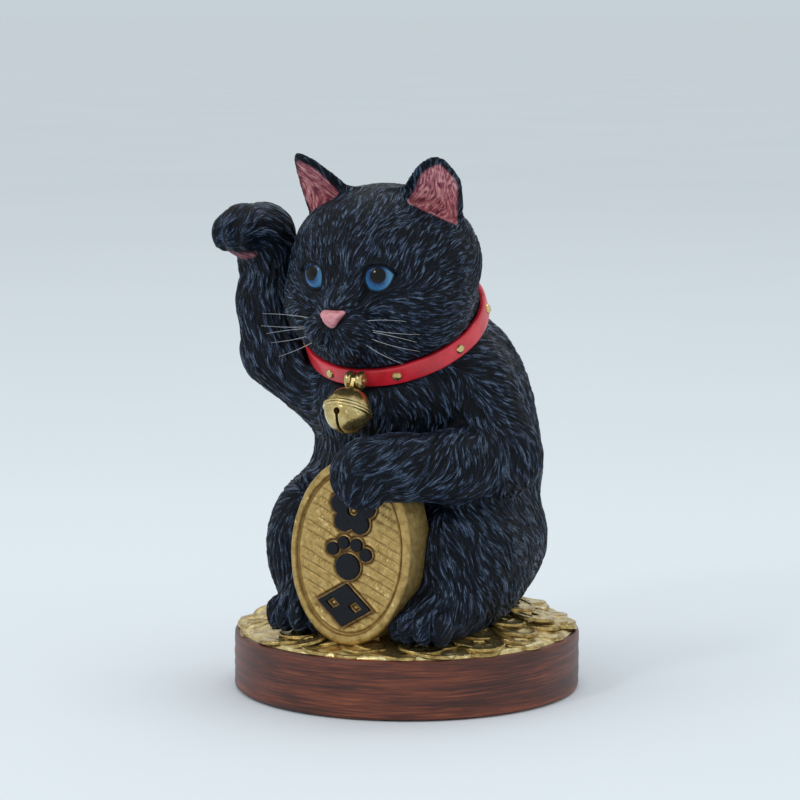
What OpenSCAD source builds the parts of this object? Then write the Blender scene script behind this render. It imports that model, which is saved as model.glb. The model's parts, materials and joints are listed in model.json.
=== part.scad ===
// Beckoning cat figurine: a seated cat casting on a bed of coins over a round wooden base.
// All lengths are in mm. +Z is up, the cat looks along -Y, and the origin is the centre of the
// base on the surface it stands on. "Left" and "right" are the cat's own.

/* [Base] */
// Diameter of the wooden base
base_diameter = 100; // [99:0.5:102]
// Top of the wooden base above the table
base_top = 17; // [16.5:0.1:17]
// Rounding of the base's two rims
base_edge_radius = 1.2; // [0.5:0.1:2]
// Diameter of the felt pad let into the underside
felt_diameter = 88; // [70:1:90]
// Total thickness of the felt pad
felt_thickness = 1.3; // [1:0.1:2]
// How far the felt stands below the wood
felt_proud = 0.3; // [0.2:0.1:0.6]
// Distance of the three base screws from the centre
screw_circle_radius = 24; // [20:1:28]
// Shank diameter of the base screws
screw_diameter = 4; // [3:0.5:4.5]

/* [Coin bed] */
// Diameter of one coin
coin_diameter = 14; // [13:0.2:14.2]
// Side of the square hole in a coin
coin_hole = 3.4; // [2:0.1:4.5]
// Number of coins in the outer ring
outer_coins = 18; // [14:1:18]
// Number of coins in the inner ring
inner_coins = 14; // [11:1:14]
// Height of the coin bed's plain plate over the wood
bed_plate = 0.9; // [0.6:0.1:1.2]
// Height of the outer coins over the wood
outer_coin_top = 2.2; // [1.8:0.1:2.4]
// Height of the inner coins over the wood, on which the cat sits
inner_coin_top = 3.2; // [2.9:0.1:3.4]

/* [Cat] */
// Offset of the cat's middle from the base's centre along X
cat_x = 2; // [0:0.5:3]
// Shaft diameter of the dowel between torso and head
neck_dowel_diameter = 10; // [6:1:12]
// Shaft diameter of the dowels in the arms
arm_dowel_diameter = 5; // [3:0.5:6]
// Diameter of the eye balls
eye_diameter = 10; // [9.5:0.5:10.5]
// Diameter of one whisker
whisker_diameter = 0.5; // [0.3:0.1:0.8]

/* [Collar and bell] */
// Outer radius of the collar band
collar_radius = 26.5; // [26:0.1:27]
// Width of the collar band
collar_width = 5.5; // [4.5:0.1:6]
// Thickness of the collar band
collar_thickness = 1.6; // [1.2:0.1:2]
// Forward tilt of the collar
collar_tilt = 30; // [29:0.5:31]
// Number of studs on each side of the bell
studs_a_side = 4; // [2:1:4]
// Diameter of a stud's dome
stud_diameter = 2.7; // [2:0.1:3]
// Outer diameter of the bell
bell_diameter = 13; // [12.6:0.1:13.2]
// Wall thickness of the bell
bell_wall = 0.8; // [0.6:0.1:1]
// Diameter of the loose pellet in the bell
pellet_diameter = 3; // [2.4:0.1:3.4]
// Width of the slot in the bell
bell_slot = 0.9; // [0.6:0.1:1.4]

/* [Koban] */
// Width of the oval gold piece
koban_width = 37.5; // [36:0.5:38]
// Height of the oval gold piece
koban_height = 53; // [51:0.5:54]
// Thickness of the oval gold piece
koban_thickness = 13; // [11:0.5:13.5]
// Sideways lean of the oval gold piece
koban_roll = 6; // [4:0.5:8]
// Depth of the sunk field inside the rim
koban_field_depth = 1; // [1:0.1:1.4]
// Height of the ornaments over the sunk field, below the rim
emblem_height = 0.9; // [0.6:0.1:0.9]

/* [Hidden] */
seat_z = base_top + inner_coin_top;
collar_centre = [0, -10, 106];
collar_inner = collar_radius - collar_thickness;
collar_clearance = 0.05;
collar_side_gap = 0.25;
hole_clearance = 0.05;
bell_radius = bell_diameter / 2;
bell_lip_radius = bell_radius + 0.4;
bell_lip_half = 0.8;
bell_hole_angle = 66;
bell_hole_radius = 0.9;
bail_radius = 2.5;
bail_gap = 1.5;
bail_lobe_width = 2;
bail_rounding = 0.7;
pin_radius = 0.6;
bell_drop = 9.2;
bell_tilt = 30;
bell_x = 1;
bell_pin_point = [bell_x, -35.7, 92.9];
pellet_gap = 0.35;
pellet_reach = bell_radius - bell_wall - pellet_diameter / 2 - pellet_gap;
eye_radius = eye_diameter / 2;
eye_half_spacing = 9.1;
eye_y = -36;
eye_z = 121.9;
koban_face = [4, -42, 45.4];
koban_rim = 3;
koban_edge_round = 1.5;
koban_dowel_radius = 2;
koban_dowel_start = [3.6, -34.5, 9];
koban_dowel_end = [3.6, -34.5, 31];
blob_fn = 28;
toe_fn = 16;
limb_fn = 22;

wood_color = [0.30, 0.11, 0.06];
felt_color = [0.10, 0.10, 0.11];
gold_color = [0.72, 0.55, 0.24];
fur_color = [0.045, 0.05, 0.065];
steel_color = [0.55, 0.56, 0.58];
dowel_color = [0.72, 0.58, 0.40];
eye_color = [0.10, 0.28, 0.62];
whisker_color = [0.90, 0.90, 0.92];
collar_color = [0.62, 0.03, 0.06];
brass_color = [0.76, 0.60, 0.28];
emblem_color = [0.03, 0.03, 0.035];

// ---------------------------------------------------------------- shared shapes

// Everything that belongs to the cat stands on the cat's own middle plane.
module cat_frame() translate([cat_x, 0, 0]) children();

module mirrored_pair() {
    children();
    mirror([1, 0, 0]) children();
}

// A rounded swelling of a casting.
module blob(centre, radii, sides = blob_fn)
    hull() translate(centre) scale(radii) sphere(1, $fn = sides);

module toe(centre, radii) blob(centre, radii, toe_fn);

// A tapering limb between two points.
module limb(start, start_radius, end, end_radius)
    hull() {
        translate(start) sphere(start_radius, $fn = limb_fn);
        translate(end) sphere(end_radius, $fn = limb_fn);
    }

// Places children in the collar's own frame: its axis is Z.
module collar_frame() translate(collar_centre) rotate([collar_tilt, 0, 0]) children();

// A rod from one point to another.
module rod(start, end, radius, sides = 0) {
    d = end - start;
    translate(start)
        rotate([0, acos(d[2] / norm(d)), atan2(d[1], d[0])])
            cylinder(h = norm(d), r = radius, $fn = sides);
}

// ---------------------------------------------------------------- base

module wood_base()
    color(wood_color)
    difference() {
        rotate_extrude($fn = 160)
            polygon(concat(
                [[0, felt_proud]],
                [for (a = [-90 : 15 : 0])
                    [base_diameter / 2 - base_edge_radius + base_edge_radius * cos(a),
                     felt_proud + base_edge_radius + base_edge_radius * sin(a)]],
                [for (a = [0 : 15 : 90])
                    [base_diameter / 2 - base_edge_radius + base_edge_radius * cos(a),
                     base_top - base_edge_radius + base_edge_radius * sin(a)]],
                [[0, base_top]]));
        cylinder(h = felt_thickness, r = felt_diameter / 2 + hole_clearance);
        screw_places() {
            cylinder(h = base_top + 1, r = screw_diameter / 2 + hole_clearance);
            cylinder(h = screw_seat_z + screw_head_height + hole_clearance, r = screw_head_radius + 0.3);
        }
        rod(koban_dowel_start - [0, 0, 0.3], koban_dowel_end, koban_dowel_radius + hole_clearance);
    }

module felt_pad()
    color(felt_color) cylinder(h = felt_thickness, r = felt_diameter / 2);

screw_head_radius = 4;
screw_head_height = 3;
screw_seat_z = 3;
screw_length = 24;

module screw_places()
    for (a = [90, 210, 330])
        translate([screw_circle_radius * cos(a), screw_circle_radius * sin(a), 0]) children();

module base_screws()
    color(steel_color)
    screw_places() {
        difference() {
            translate([0, 0, screw_seat_z]) cylinder(h = screw_head_height, r = screw_head_radius);
            cylinder(h = screw_seat_z + 1.6, r = 1.7, $fn = 6);
        }
        translate([0, 0, screw_seat_z + screw_head_height - 0.01])
            cylinder(h = screw_length, r = screw_diameter / 2);
    }

// ---------------------------------------------------------------- coin bed

bed_radius = 48.4;
outer_ring_radius = bed_radius - coin_diameter / 2;
inner_ring_radius = 32.4;
boss_radius = 31;
outer_ring_start = 14.5;
// The seat stands this far over the inner coins.
seat_step = 0.05;
// One inner coin lies under the koban and carries its dowel.
inner_ring_start = atan2(koban_dowel_start[1], koban_dowel_start[0]);

module coin_ring(count, ring_radius, start)
    for (i = [0 : count - 1])
        rotate([0, 0, start + i * 360 / count])
            translate([ring_radius, 0, 0])
                rotate([0, 0, i * 41 + 3]) children();

// Disc that grows out of the plate, up to the given height over the wood.
module bed_disc(top, radius)
    translate([0, 0, base_top + bed_plate / 2]) cylinder(h = top - bed_plate / 2, r = radius);

module coin_bed()
    color(gold_color)
    difference() {
        union() {
            difference() {
                union() {
                    translate([0, 0, base_top]) cylinder(h = bed_plate, r = bed_radius - 1.6);
                    coin_ring(outer_coins, outer_ring_radius, outer_ring_start)
                        bed_disc(outer_coin_top, coin_diameter / 2);
                    coin_ring(inner_coins, inner_ring_radius, inner_ring_start)
                        bed_disc(inner_coin_top - seat_step, coin_diameter / 2);
                    bed_disc(inner_coin_top, boss_radius);
                }
                coin_ring(outer_coins, outer_ring_radius + 1.6, outer_ring_start)
                    translate([-coin_hole / 2, -coin_hole / 2, base_top + bed_plate])
                        cube([coin_hole, coin_hole, outer_coin_top]);
                coin_ring(inner_coins, inner_ring_radius + 2.6, inner_ring_start)
                    translate([-coin_hole / 2, -coin_hole / 2, base_top + bed_plate])
                        cube([coin_hole, coin_hole, inner_coin_top]);
            }
            translate([koban_dowel_start[0], koban_dowel_start[1], 0])
                bed_disc(inner_coin_top, coin_hole);
        }
        screw_places() cylinder(h = seat_z + 1, r = screw_diameter / 2 + hole_clearance);
        rod(koban_dowel_start, koban_dowel_end, koban_dowel_radius + hole_clearance);
    }

// ---------------------------------------------------------------- cat castings

module foot() {
    blob([0, -22.5, 27.5], [10, 17.5, 9.2]);
    toe([-4.2, -36.8, 25.5], [3.6, 4.4, 5.2]);
    toe([0.2, -38, 25.5], [3.6, 4.4, 5.2]);
    toe([4.6, -36.6, 25.5], [3.6, 4.4, 5]);
}

module torso_form() {
    blob([0, 8, 43], [35.5, 34.5, 27]);
    blob([0, 9.5, 64], [33, 34.5, 30]);
    blob([0, 9, 78], [31, 32, 28]);
    blob([0, 5, 89], [29, 28, 23]);
    blob([0, -8, 86], [24, 24.8, 22]);
    blob([0, -8, 60], [22, 20.5, 24]);
    blob([0, -6, 100], [24, 24, 20]);
    mirrored_pair() {
        blob([24.2, -8, 42], [13.6, 25, 22]);
        blob([21, -5, 88], [11, 13, 15]);
    }
    translate([20.8, 0, 0]) foot();
    translate([-18.2, 0, 0]) foot();
    limb([0, 35, 27], 6.5, [-12, 40, 25.5], 5.5);
    limb([-12, 40, 25.5], 5.5, [-26, 35, 24.5], 4.6);
    limb([-26, 35, 24.5], 4.6, [-34, 26, 24], 3.6);
}

module raised_arm_form() {
    limb([-18, -10, 87], 14, [-34.6, -16, 97.5], 10.8);
    limb([-34.6, -16, 97.5], 10.8, [-36.2, -19, 112], 9.2);
    limb([-36.2, -19, 112], 9.2, [-36, -20, 124], 7.9);
    limb([-36, -20, 124], 7.9, [-36.5, -22, 131], 8.6);
    limb([-36.5, -22, 131], 8.6, [-38, -30.5, 133], 7.3);
    toe([-35.2, -33.6, 131.8], [3.6, 5, 4.8]);
    toe([-39, -35, 132], [3.6, 5, 5]);
    toe([-42.6, -33.6, 131.6], [3.6, 5, 4.8]);
    toe([-38.4, -28, 127], [5.4, 5.6, 2.8]);
}

module left_arm_form() {
    limb([20, -5, 88], 13.5, [32, -7, 70], 11);
    limb([32, -7, 70], 11, [26, -26, 69], 9.8);
    limb([26, -26, 69], 9.8, [16, -40, 70], 9);
    limb([16, -40, 70], 9, [9.5, -45, 70], 8.4);
    toe([3.8, -46, 68], [4.2, 5.4, 7]);
    toe([8.2, -48.6, 66.2], [4, 4.8, 7.2]);
    toe([12.6, -47.6, 66], [3.9, 4.8, 7]);
}

module head_form() {
    blob([0, -16, 124], [27.3, 25, 22.3]);
    mirrored_pair() blob([12.5, -21, 113.5], [15, 17, 15]);
    blob([0, -27, 126], [19.5, 14.5, 14.5]);
    blob([0, -24, 105], [19, 15, 12]);
    blob([0, -37.5, 113.5], [8.5, 9, 8.5]);
    mirrored_pair() blob([4.3, -42.4, 107.6], [6.3, 6, 5.2], 22);
    blob([0, -39, 103.2], [6, 6.2, 4.6], 22);
    blob([0, -46.6, 111.6], [3.4, 2.6, 2.4], 18);
    mirrored_pair() ear();
}

// One ear: a shell with its hollow facing forward and outward.
module ear()
    difference() {
        hull() {
            translate([21.7, -26.4, 153]) sphere(1.4, $fn = 16);
            translate([15.6, -25, 150.2]) sphere(1.3, $fn = 16);
            translate([24.2, -19.5, 147.5]) sphere(1.5, $fn = 16);
            translate([22.7, -15.5, 134]) sphere(2.4, $fn = 16);
            translate([7.8, -18.5, 142.5]) sphere(2.4, $fn = 16);
            translate([16, -11.5, 137]) sphere(3, $fn = 16);
        }
        hull() {
            translate([21.3, -28.2, 150.5]) sphere(0.7, $fn = 12);
            translate([15.8, -27.4, 148]) sphere(0.7, $fn = 12);
            translate([12.2, -23.6, 142]) sphere(1.2, $fn = 12);
            translate([23.8, -21.6, 136.5]) sphere(1.2, $fn = 12);
            translate([17.4, -17, 139]) sphere(1.5, $fn = 12);
            translate([22, -36, 146]) sphere(2.5, $fn = 12);
        }
    }

// Half space on the head's side of the collar's middle plane.
module head_side() collar_frame() translate([-100, -100, 0]) cube([200, 200, 100]);

// Half space under the collar's middle plane, over the coins.
module torso_side()
    intersection() {
        collar_frame() translate([-100, -100, -200]) cube([200, 200, 200]);
        translate([-100, -100, seat_z]) cube([200, 200, 200]);
    }

// Neck stub that the collar closes round.
module neck_core()
    collar_frame()
        translate([0, 0, -12]) cylinder(h = 22, r = collar_inner - collar_clearance, $fn = 72);

// The band's room, solid right across.
module collar_room()
    collar_frame()
        translate([0, 0, -collar_width / 2 - collar_side_gap])
            cylinder(h = collar_width + 2 * collar_side_gap, r = collar_radius + 3.5, $fn = 72);

module collar_space()
    difference() {
        collar_room();
        collar_frame()
            translate([0, 0, -collar_width])
                cylinder(h = 2 * collar_width, r = collar_inner - collar_clearance, $fn = 72);
    }

module eye_ball(extra = 0, sides = 0)
    translate([eye_half_spacing, eye_y, eye_z]) sphere(eye_radius + extra, $fn = sides);

neck_dowel_half = 13;
module neck_dowel_shape(extra = 0, sides = 0)
    collar_frame()
        translate([0, 4, -neck_dowel_half - extra])
            cylinder(h = 2 * (neck_dowel_half + extra), r = neck_dowel_diameter / 2 + extra, $fn = sides);

module raised_arm_dowel_shape(extra = 0, sides = 0)
    rod([-20, -8.5, 86.7] + extra * [4, 2, -2.75], [-35.5, -16.3, 97.4] - extra * [4, 2, -2.75],
        arm_dowel_diameter / 2 + extra, sides);

module left_arm_dowel_shape(extra = 0, sides = 0)
    rod([20, -2, 84] + extra * [-6, 1, 4], [33, -7, 73] - extra * [-6, 1, 4],
        arm_dowel_diameter / 2 + extra, sides);

module torso()
    color(fur_color)
    difference() {
        intersection() {
            union() {
                cat_frame() torso_form();
                cat_frame() neck_core();
            }
            cat_frame() torso_side();
        }
        cat_frame() collar_space();
        cat_frame() neck_dowel_shape(hole_clearance, 32);
        cat_frame() raised_arm_dowel_shape(hole_clearance, 32);
        cat_frame() left_arm_dowel_shape(hole_clearance, 32);
        koban_blank();
        screw_places() cylinder(h = screw_seat_z + screw_head_height + screw_length + 0.5,
                                r = screw_diameter / 2 + 0.06, $fn = 32);
    }

module head()
    color(fur_color)
    cat_frame()
    difference() {
        intersection() {
            union() {
                head_form();
                neck_core();
            }
            head_side();
        }
        collar_space();
        neck_dowel_shape(hole_clearance, 32);
        mirrored_pair() eye_ball(0.1, 48);
    }

// What the two arm castings are trimmed against, so that they close on the torso's skin.
module arm_limits() {
    torso_form();
    neck_core();
    collar_room();
    intersection() {
        head_form();
        head_side();
    }
}

module raised_arm()
    color(fur_color)
    cat_frame()
    difference() {
        raised_arm_form();
        arm_limits();
        raised_arm_dowel_shape(hole_clearance, 32);
    }

module left_arm()
    color(fur_color)
    difference() {
        cat_frame()
        difference() {
            left_arm_form();
            arm_limits();
            left_arm_dowel_shape(hole_clearance, 32);
        }
        koban_blank();
    }

module neck_dowel() color(dowel_color) cat_frame() neck_dowel_shape();
module raised_arm_dowel() color(dowel_color) cat_frame() raised_arm_dowel_shape();
module left_arm_dowel() color(dowel_color) cat_frame() left_arm_dowel_shape();

module left_eye() color(eye_color) cat_frame() eye_ball();
module right_eye() color(eye_color) cat_frame() mirror([1, 0, 0]) eye_ball();

// Whiskers of one side, fanned over the muzzle and rooted in the casting.
module whisker_fan() {
    rod([4.4, -42.5, 109.6], [22.5, -46.5, 111.2], whisker_diameter / 2);
    rod([4.8, -42.5, 108.4], [25, -43, 107.4], whisker_diameter / 2);
    rod([4.8, -42.5, 107], [23.5, -40.5, 102.5], whisker_diameter / 2);
    rod([4.4, -42.5, 105.8], [19.5, -42.5, 99], whisker_diameter / 2);
}

module whiskers_left() color(whisker_color) cat_frame() whisker_fan();
module whiskers_right() color(whisker_color) cat_frame() mirror([1, 0, 0]) whisker_fan();

// ---------------------------------------------------------------- collar

stud_shank_radius = 0.8;
stud_shank_depth = 1;
first_stud_angle = 23;
stud_pitch_angle = 43;
bail_angle = atan2(-collar_radius, bell_x);

module stud_places()
    for (side = [-1, 1], i = [0 : studs_a_side - 1])
        rotate([0, 0, bail_angle + side * (first_stud_angle + i * stud_pitch_angle)])
            translate([collar_radius, 0, 0]) rotate([0, 90, 0]) children();

// The bail's stem runs straight from the pin's lobes into the band.
module bail_stem(extra = 0)
    collar_frame()
        rotate([0, 0, bail_angle])
            translate([collar_radius - 1 - extra, 0, 0.8])
                rotate([0, 90, 0]) cylinder(h = 2.4, r = 1.1 + extra);

module collar()
    color(collar_color)
    cat_frame()
    difference() {
        collar_frame()
        difference() {
            rotate_extrude($fn = 160)
                polygon([[collar_inner, -collar_width / 2],
                         [collar_radius - 0.5, -collar_width / 2],
                         [collar_radius - 0.15, -collar_width / 2 + 0.15],
                         [collar_radius, -collar_width / 2 + 0.5],
                         [collar_radius, collar_width / 2 - 0.5],
                         [collar_radius - 0.15, collar_width / 2 - 0.15],
                         [collar_radius - 0.5, collar_width / 2],
                         [collar_inner, collar_width / 2]]);
            stud_places()
                translate([0, 0, -stud_shank_depth - hole_clearance])
                    cylinder(h = 2, r = stud_shank_radius + hole_clearance);
        }
        bail_stem(hole_clearance);
    }

// Domed heads stand just clear of the band on shanks let into it.
module collar_studs()
    color(brass_color)
    cat_frame() collar_frame()
    stud_places() {
        translate([0, 0, -stud_shank_depth]) cylinder(h = stud_shank_depth + 0.3, r = stud_shank_radius);
        rotate_extrude()
            polygon(concat([[0, 0.05]],
                [for (a = [0 : 15 : 90])
                    [stud_diameter / 2 * cos(a), 0.2 + 0.75 * sin(a)]]));
    }

// ---------------------------------------------------------------- bell

// The bell's frame: origin at its centre, Z along its own axis towards the pin.
module bell_frame()
    translate(bell_pin_point) rotate([-bell_tilt, 0, 0]) translate([0, 0, -bell_drop]) children();

module lobe()
    rotate([0, 90, 0])
        rotate_extrude()
            polygon([[0, bail_gap / 2],
                     [bail_radius - bail_rounding, bail_gap / 2],
                     [bail_radius - bail_rounding * 0.3, bail_gap / 2 + bail_rounding * 0.3],
                     [bail_radius, bail_gap / 2 + bail_rounding],
                     [bail_radius, bail_gap / 2 + bail_lobe_width - bail_rounding],
                     [bail_radius - bail_rounding * 0.3, bail_gap / 2 + bail_lobe_width - bail_rounding * 0.3],
                     [bail_radius - bail_rounding, bail_gap / 2 + bail_lobe_width],
                     [0, bail_gap / 2 + bail_lobe_width]]);

module bell_bail()
    color(brass_color)
    cat_frame()
    difference() {
        union() {
            translate(bell_pin_point) mirrored_pair() lobe();
            bail_stem();
            bail_bridge();
        }
        translate(bell_pin_point) rotate([0, 90, 0])
            translate([0, 0, -10]) cylinder(h = 20, r = pin_radius + 0.02);
        translate(bell_pin_point) rotate([0, 90, 0])
            translate([0, 0, -bail_gap / 2]) cylinder(h = bail_gap, r = 1.9);
        collar_frame() cylinder(h = 2 * collar_width, r = collar_radius + 0.05, center = true);
    }

// Web that joins both lobes to the stem behind the bell's tab.
module bail_bridge()
    intersection() {
        collar_frame()
            rotate([0, 0, bail_angle])
                translate([collar_radius, -2.4, 0]) cube([1.2, 4.8, 2.7]);
        collar_frame() cylinder(h = 2 * collar_width, r = collar_radius + 1.2, center = true);
    }

module bell_pin()
    color(brass_color)
    cat_frame()
    translate(bell_pin_point) rotate([0, 90, 0])
        translate([0, 0, -bail_gap / 2 - bail_lobe_width - 0.3])
            cylinder(h = bail_gap + 2 * bail_lobe_width + 0.6, r = pin_radius);

module bell_half_shell()
    rotate_extrude($fn = 96)
        polygon(concat(
            [for (a = [0 : 10 : 90]) [bell_radius * cos(a), bell_radius * sin(a)]],
            [for (a = [90 : -10 : 0])
                [(bell_radius - bell_wall) * cos(a), (bell_radius - bell_wall) * sin(a)]]));

module bell_lip()
    rotate_extrude($fn = 96)
        polygon([[bell_radius - bell_wall / 2, 0], [bell_lip_radius, 0],
                 [bell_lip_radius, bell_lip_half * 0.6],
                 [bell_lip_radius - 0.2, bell_lip_half],
                 [bell_radius - bell_wall / 2, bell_lip_half]]);

module bell_crown()
    color(brass_color)
    cat_frame()
    bell_frame()
    difference() {
        union() {
            bell_half_shell();
            bell_lip();
            intersection() {
                union() {
                    translate([-0.6, 0, bell_drop]) rotate([0, 90, 0]) cylinder(h = 1.2, r = 1.5);
                    translate([-0.6, -1.5, bell_radius - 0.5]) cube([1.2, 3, bell_drop - bell_radius + 0.5]);
                }
                translate([-2, -2, bell_radius - 0.5]) cube([4, 4, 6]);
            }
        }
        translate([-2, 0, bell_drop]) rotate([0, 90, 0]) cylinder(h = 4, r = pin_radius + 0.06);
    }

module bell_bowl()
    color(brass_color)
    cat_frame()
    bell_frame()
    difference() {
        mirror([0, 0, 1]) {
            bell_half_shell();
            bell_lip();
        }
        intersection() {
            translate([-bell_slot / 2, -10, -10]) cube([bell_slot, 20, 10]);
            bell_slot_sector();
        }
        for (side = [-1, 1])
            rotate([side * bell_hole_angle, 0, 0])
                translate([0, 0, -bell_radius - 1]) cylinder(h = 3, r = bell_hole_radius);
    }

// Wedge across the bowl between its two end holes.
module bell_slot_sector()
    rotate([0, -90, 0])
        translate([0, 0, -2])
            linear_extrude(4)
                polygon(concat([[0, 0]],
                    [for (a = [-bell_hole_angle : 6 : bell_hole_angle]) [-12 * cos(a), 12 * sin(a)]]));

module bell_pellet()
    color(steel_color)
    cat_frame()
    translate(bell_pin_point + bell_drop * [0, -sin(bell_tilt), -cos(bell_tilt)])
        translate([0, 0, -pellet_reach]) sphere(pellet_diameter / 2);

// ---------------------------------------------------------------- koban

// The oval's frame: origin in the middle of its face, which looks along -Y.
module koban_frame() translate(koban_face) rotate([0, koban_roll, 0]) children();

function oval(half_width, half_height, steps = 72) =
    [for (i = [0 : steps - 1])
        [half_width * cos(i * 360 / steps), half_height * sin(i * 360 / steps)]];

// An upright oval plate standing behind the given depth.
module oval_plate(inset, depth, thickness)
    translate([0, depth + thickness, 0]) rotate([90, 0, 0])
        linear_extrude(thickness)
            polygon(oval(koban_width / 2 - inset, koban_height / 2 - inset));

module koban_blank()
    koban_frame() {
        oval_plate(0, koban_edge_round, koban_thickness - koban_edge_round);
        oval_plate(0.45, koban_edge_round * 0.35, koban_thickness - koban_edge_round);
        oval_plate(1.2, 0, koban_thickness - koban_edge_round);
    }

chisel_rows = 11;
chisel_pitch = 4.1;
chisel_depth = 0.4;
chisel_width = 0.5;

// Interrupted chisel lines across the sunk field.
module chisel_lines()
    intersection() {
        oval_plate(koban_rim + 0.8, koban_field_depth - 0.5, 3);
        for (row = [0 : chisel_rows - 1], step = [-3 : 3])
            translate([step * 5.2 + (row % 2) * 1.6 - 2.3, koban_field_depth - 0.3,
                       (row - (chisel_rows - 1) / 2) * chisel_pitch - chisel_width / 2])
                cube([4.6, chisel_depth + 0.3, chisel_width]);
    }

module koban()
    color(gold_color)
    difference() {
        koban_blank();
        koban_frame() {
            oval_plate(koban_rim, -1, koban_field_depth + 1);
            chisel_lines();
        }
        translate([-60, -60, seat_z - 60]) cube([120, 120, 60]);
        rod(koban_dowel_start, koban_dowel_end + [0, 0, 0.3], koban_dowel_radius + hole_clearance);
    }

module koban_dowel()
    color(steel_color) rod(koban_dowel_start, koban_dowel_end, koban_dowel_radius);

// Flat ornaments stand on the sunk field; each is drawn in the X-Z plane.
module on_field(height_on_face)
    koban_frame()
        translate([0, koban_field_depth, height_on_face]) rotate([90, 0, 0])
            linear_extrude(emblem_height) children();

module blossom()
    difference() {
        union() {
            circle(3, $fn = 32);
            for (a = [90 : 72 : 378])
                translate([4.2 * cos(a), 4.2 * sin(a)]) circle(2.9, $fn = 32);
        }
        circle(1.5, $fn = 24);
    }

module paw_print() {
    translate([0, -2.4]) circle(3.7, $fn = 40);
    for (a = [38, 72, 108, 142])
        translate([6.6 * cos(a), 6.6 * sin(a) - 2.2]) circle(1.85, $fn = 28);
}

module lozenge()
    difference() {
        polygon([[-8.4, 0], [0, 6.2], [8.4, 0], [0, -6.2]]);
        for (x = [-3.5, 3.5])
            translate([x, 0]) polygon([[-2.2, 0], [0, 1.6], [2.2, 0], [0, -1.6]]);
    }

module koban_emblems()
    color(emblem_color) {
        on_field(12) blossom();
        on_field(-1.6) paw_print();
        on_field(-15) lozenge();
    }

// ---------------------------------------------------------------- nodes

felt_pad();
wood_base();
base_screws();
coin_bed();
torso();
head();
raised_arm();
left_arm();
neck_dowel();
raised_arm_dowel();
left_arm_dowel();
left_eye();
right_eye();
whiskers_left();
whiskers_right();
collar();
collar_studs();
bell_bail();
bell_pin();
bell_crown();
bell_bowl();
bell_pellet();
koban();
koban_dowel();
koban_emblems();
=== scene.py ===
"""Beckoning cat figurine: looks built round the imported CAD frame. Lengths are mm until a mesh is made."""

import json
import math

import bpy
import numpy as np
from mathutils import Matrix, Vector


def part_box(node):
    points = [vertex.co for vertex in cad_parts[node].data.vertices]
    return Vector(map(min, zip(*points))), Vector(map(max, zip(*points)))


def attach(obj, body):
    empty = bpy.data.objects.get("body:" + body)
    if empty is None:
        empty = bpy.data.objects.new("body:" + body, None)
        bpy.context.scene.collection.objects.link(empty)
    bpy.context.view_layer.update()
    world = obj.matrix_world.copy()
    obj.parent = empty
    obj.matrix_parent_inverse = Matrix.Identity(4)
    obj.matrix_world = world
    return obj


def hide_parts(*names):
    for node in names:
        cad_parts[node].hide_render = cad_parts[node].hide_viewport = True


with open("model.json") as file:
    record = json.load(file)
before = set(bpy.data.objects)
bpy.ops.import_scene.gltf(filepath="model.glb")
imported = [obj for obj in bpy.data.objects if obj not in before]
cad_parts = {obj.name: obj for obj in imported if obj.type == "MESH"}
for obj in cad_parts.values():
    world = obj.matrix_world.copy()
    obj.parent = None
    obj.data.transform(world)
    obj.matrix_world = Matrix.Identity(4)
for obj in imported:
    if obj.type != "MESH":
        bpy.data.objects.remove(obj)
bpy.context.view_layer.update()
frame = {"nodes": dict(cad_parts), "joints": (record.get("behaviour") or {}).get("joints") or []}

MM = 0.001
rng = np.random.default_rng(7)


# ------------------------------------------------------------------ places taken from the frame

def mm_box(name):
    lo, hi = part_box(name)
    return np.array(lo) / MM, np.array(hi) / MM


def middle(name):
    lo, hi = mm_box(name)
    return (lo + hi) / 2


EYE_LEFT, EYE_RIGHT = middle("left_eye"), middle("right_eye")
CAT_X = (EYE_LEFT[0] + EYE_RIGHT[0]) / 2
EYE_R = (mm_box("left_eye")[1] - mm_box("left_eye")[0])[0] / 2
EYE = np.array([(EYE_LEFT[0] - EYE_RIGHT[0]) / 2, EYE_LEFT[1], EYE_LEFT[2]])
SEAT = mm_box("coin_bed")[1][2]
WOOD_LO, WOOD_HI = mm_box("wood_base")
BASE_R = (WOOD_HI[0] - WOOD_LO[0]) / 2
WOOD_TOP = WOOD_HI[2]
JOINTS = {j["name"]: j for j in frame["joints"]}
CAT = np.array([CAT_X, 0.0, 0.0])

COLLAR_C = np.array([0.0, -10.0, 106.0])
COLLAR_TILT = math.radians(30)
COLLAR_R, COLLAR_IN, COLLAR_W = 26.5, 24.9, 5.5
BELL_TILT = math.radians(30)
BELL_PIN = np.array(JOINTS["bell_swing"]["pos_m"]) / MM - CAT
BELL_DROP = 9.2
BELL_C = BELL_PIN + BELL_DROP * np.array([0, -math.sin(BELL_TILT), -math.cos(BELL_TILT)])
BELL_R = 6.5

KOBAN_LO, KOBAN_HI = mm_box("koban")
KOBAN_FACE = np.array([4.0, KOBAN_LO[1], 45.4])
KOBAN_ROLL = math.radians(6)
KOBAN_W, KOBAN_H, KOBAN_T = 37.5, 53.0, KOBAN_HI[1] - KOBAN_LO[1]


def rot_x(a):
    c, s = math.cos(a), math.sin(a)
    return np.array([[1, 0, 0], [0, c, -s], [0, s, c]])


def rot_y(a):
    c, s = math.cos(a), math.sin(a)
    return np.array([[c, 0, s], [0, 1, 0], [-s, 0, c]])


def rot_z(a):
    c, s = math.cos(a), math.sin(a)
    return np.array([[c, -s, 0], [s, c, 0], [0, 0, 1]])


COLLAR_M = rot_x(COLLAR_TILT)
KOBAN_M = rot_y(KOBAN_ROLL)


def unit(v):
    v = np.asarray(v, float)
    return v / np.maximum(np.linalg.norm(v, axis=-1, keepdims=True), 1e-9)


# ------------------------------------------------------------------ smooth noise

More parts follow.
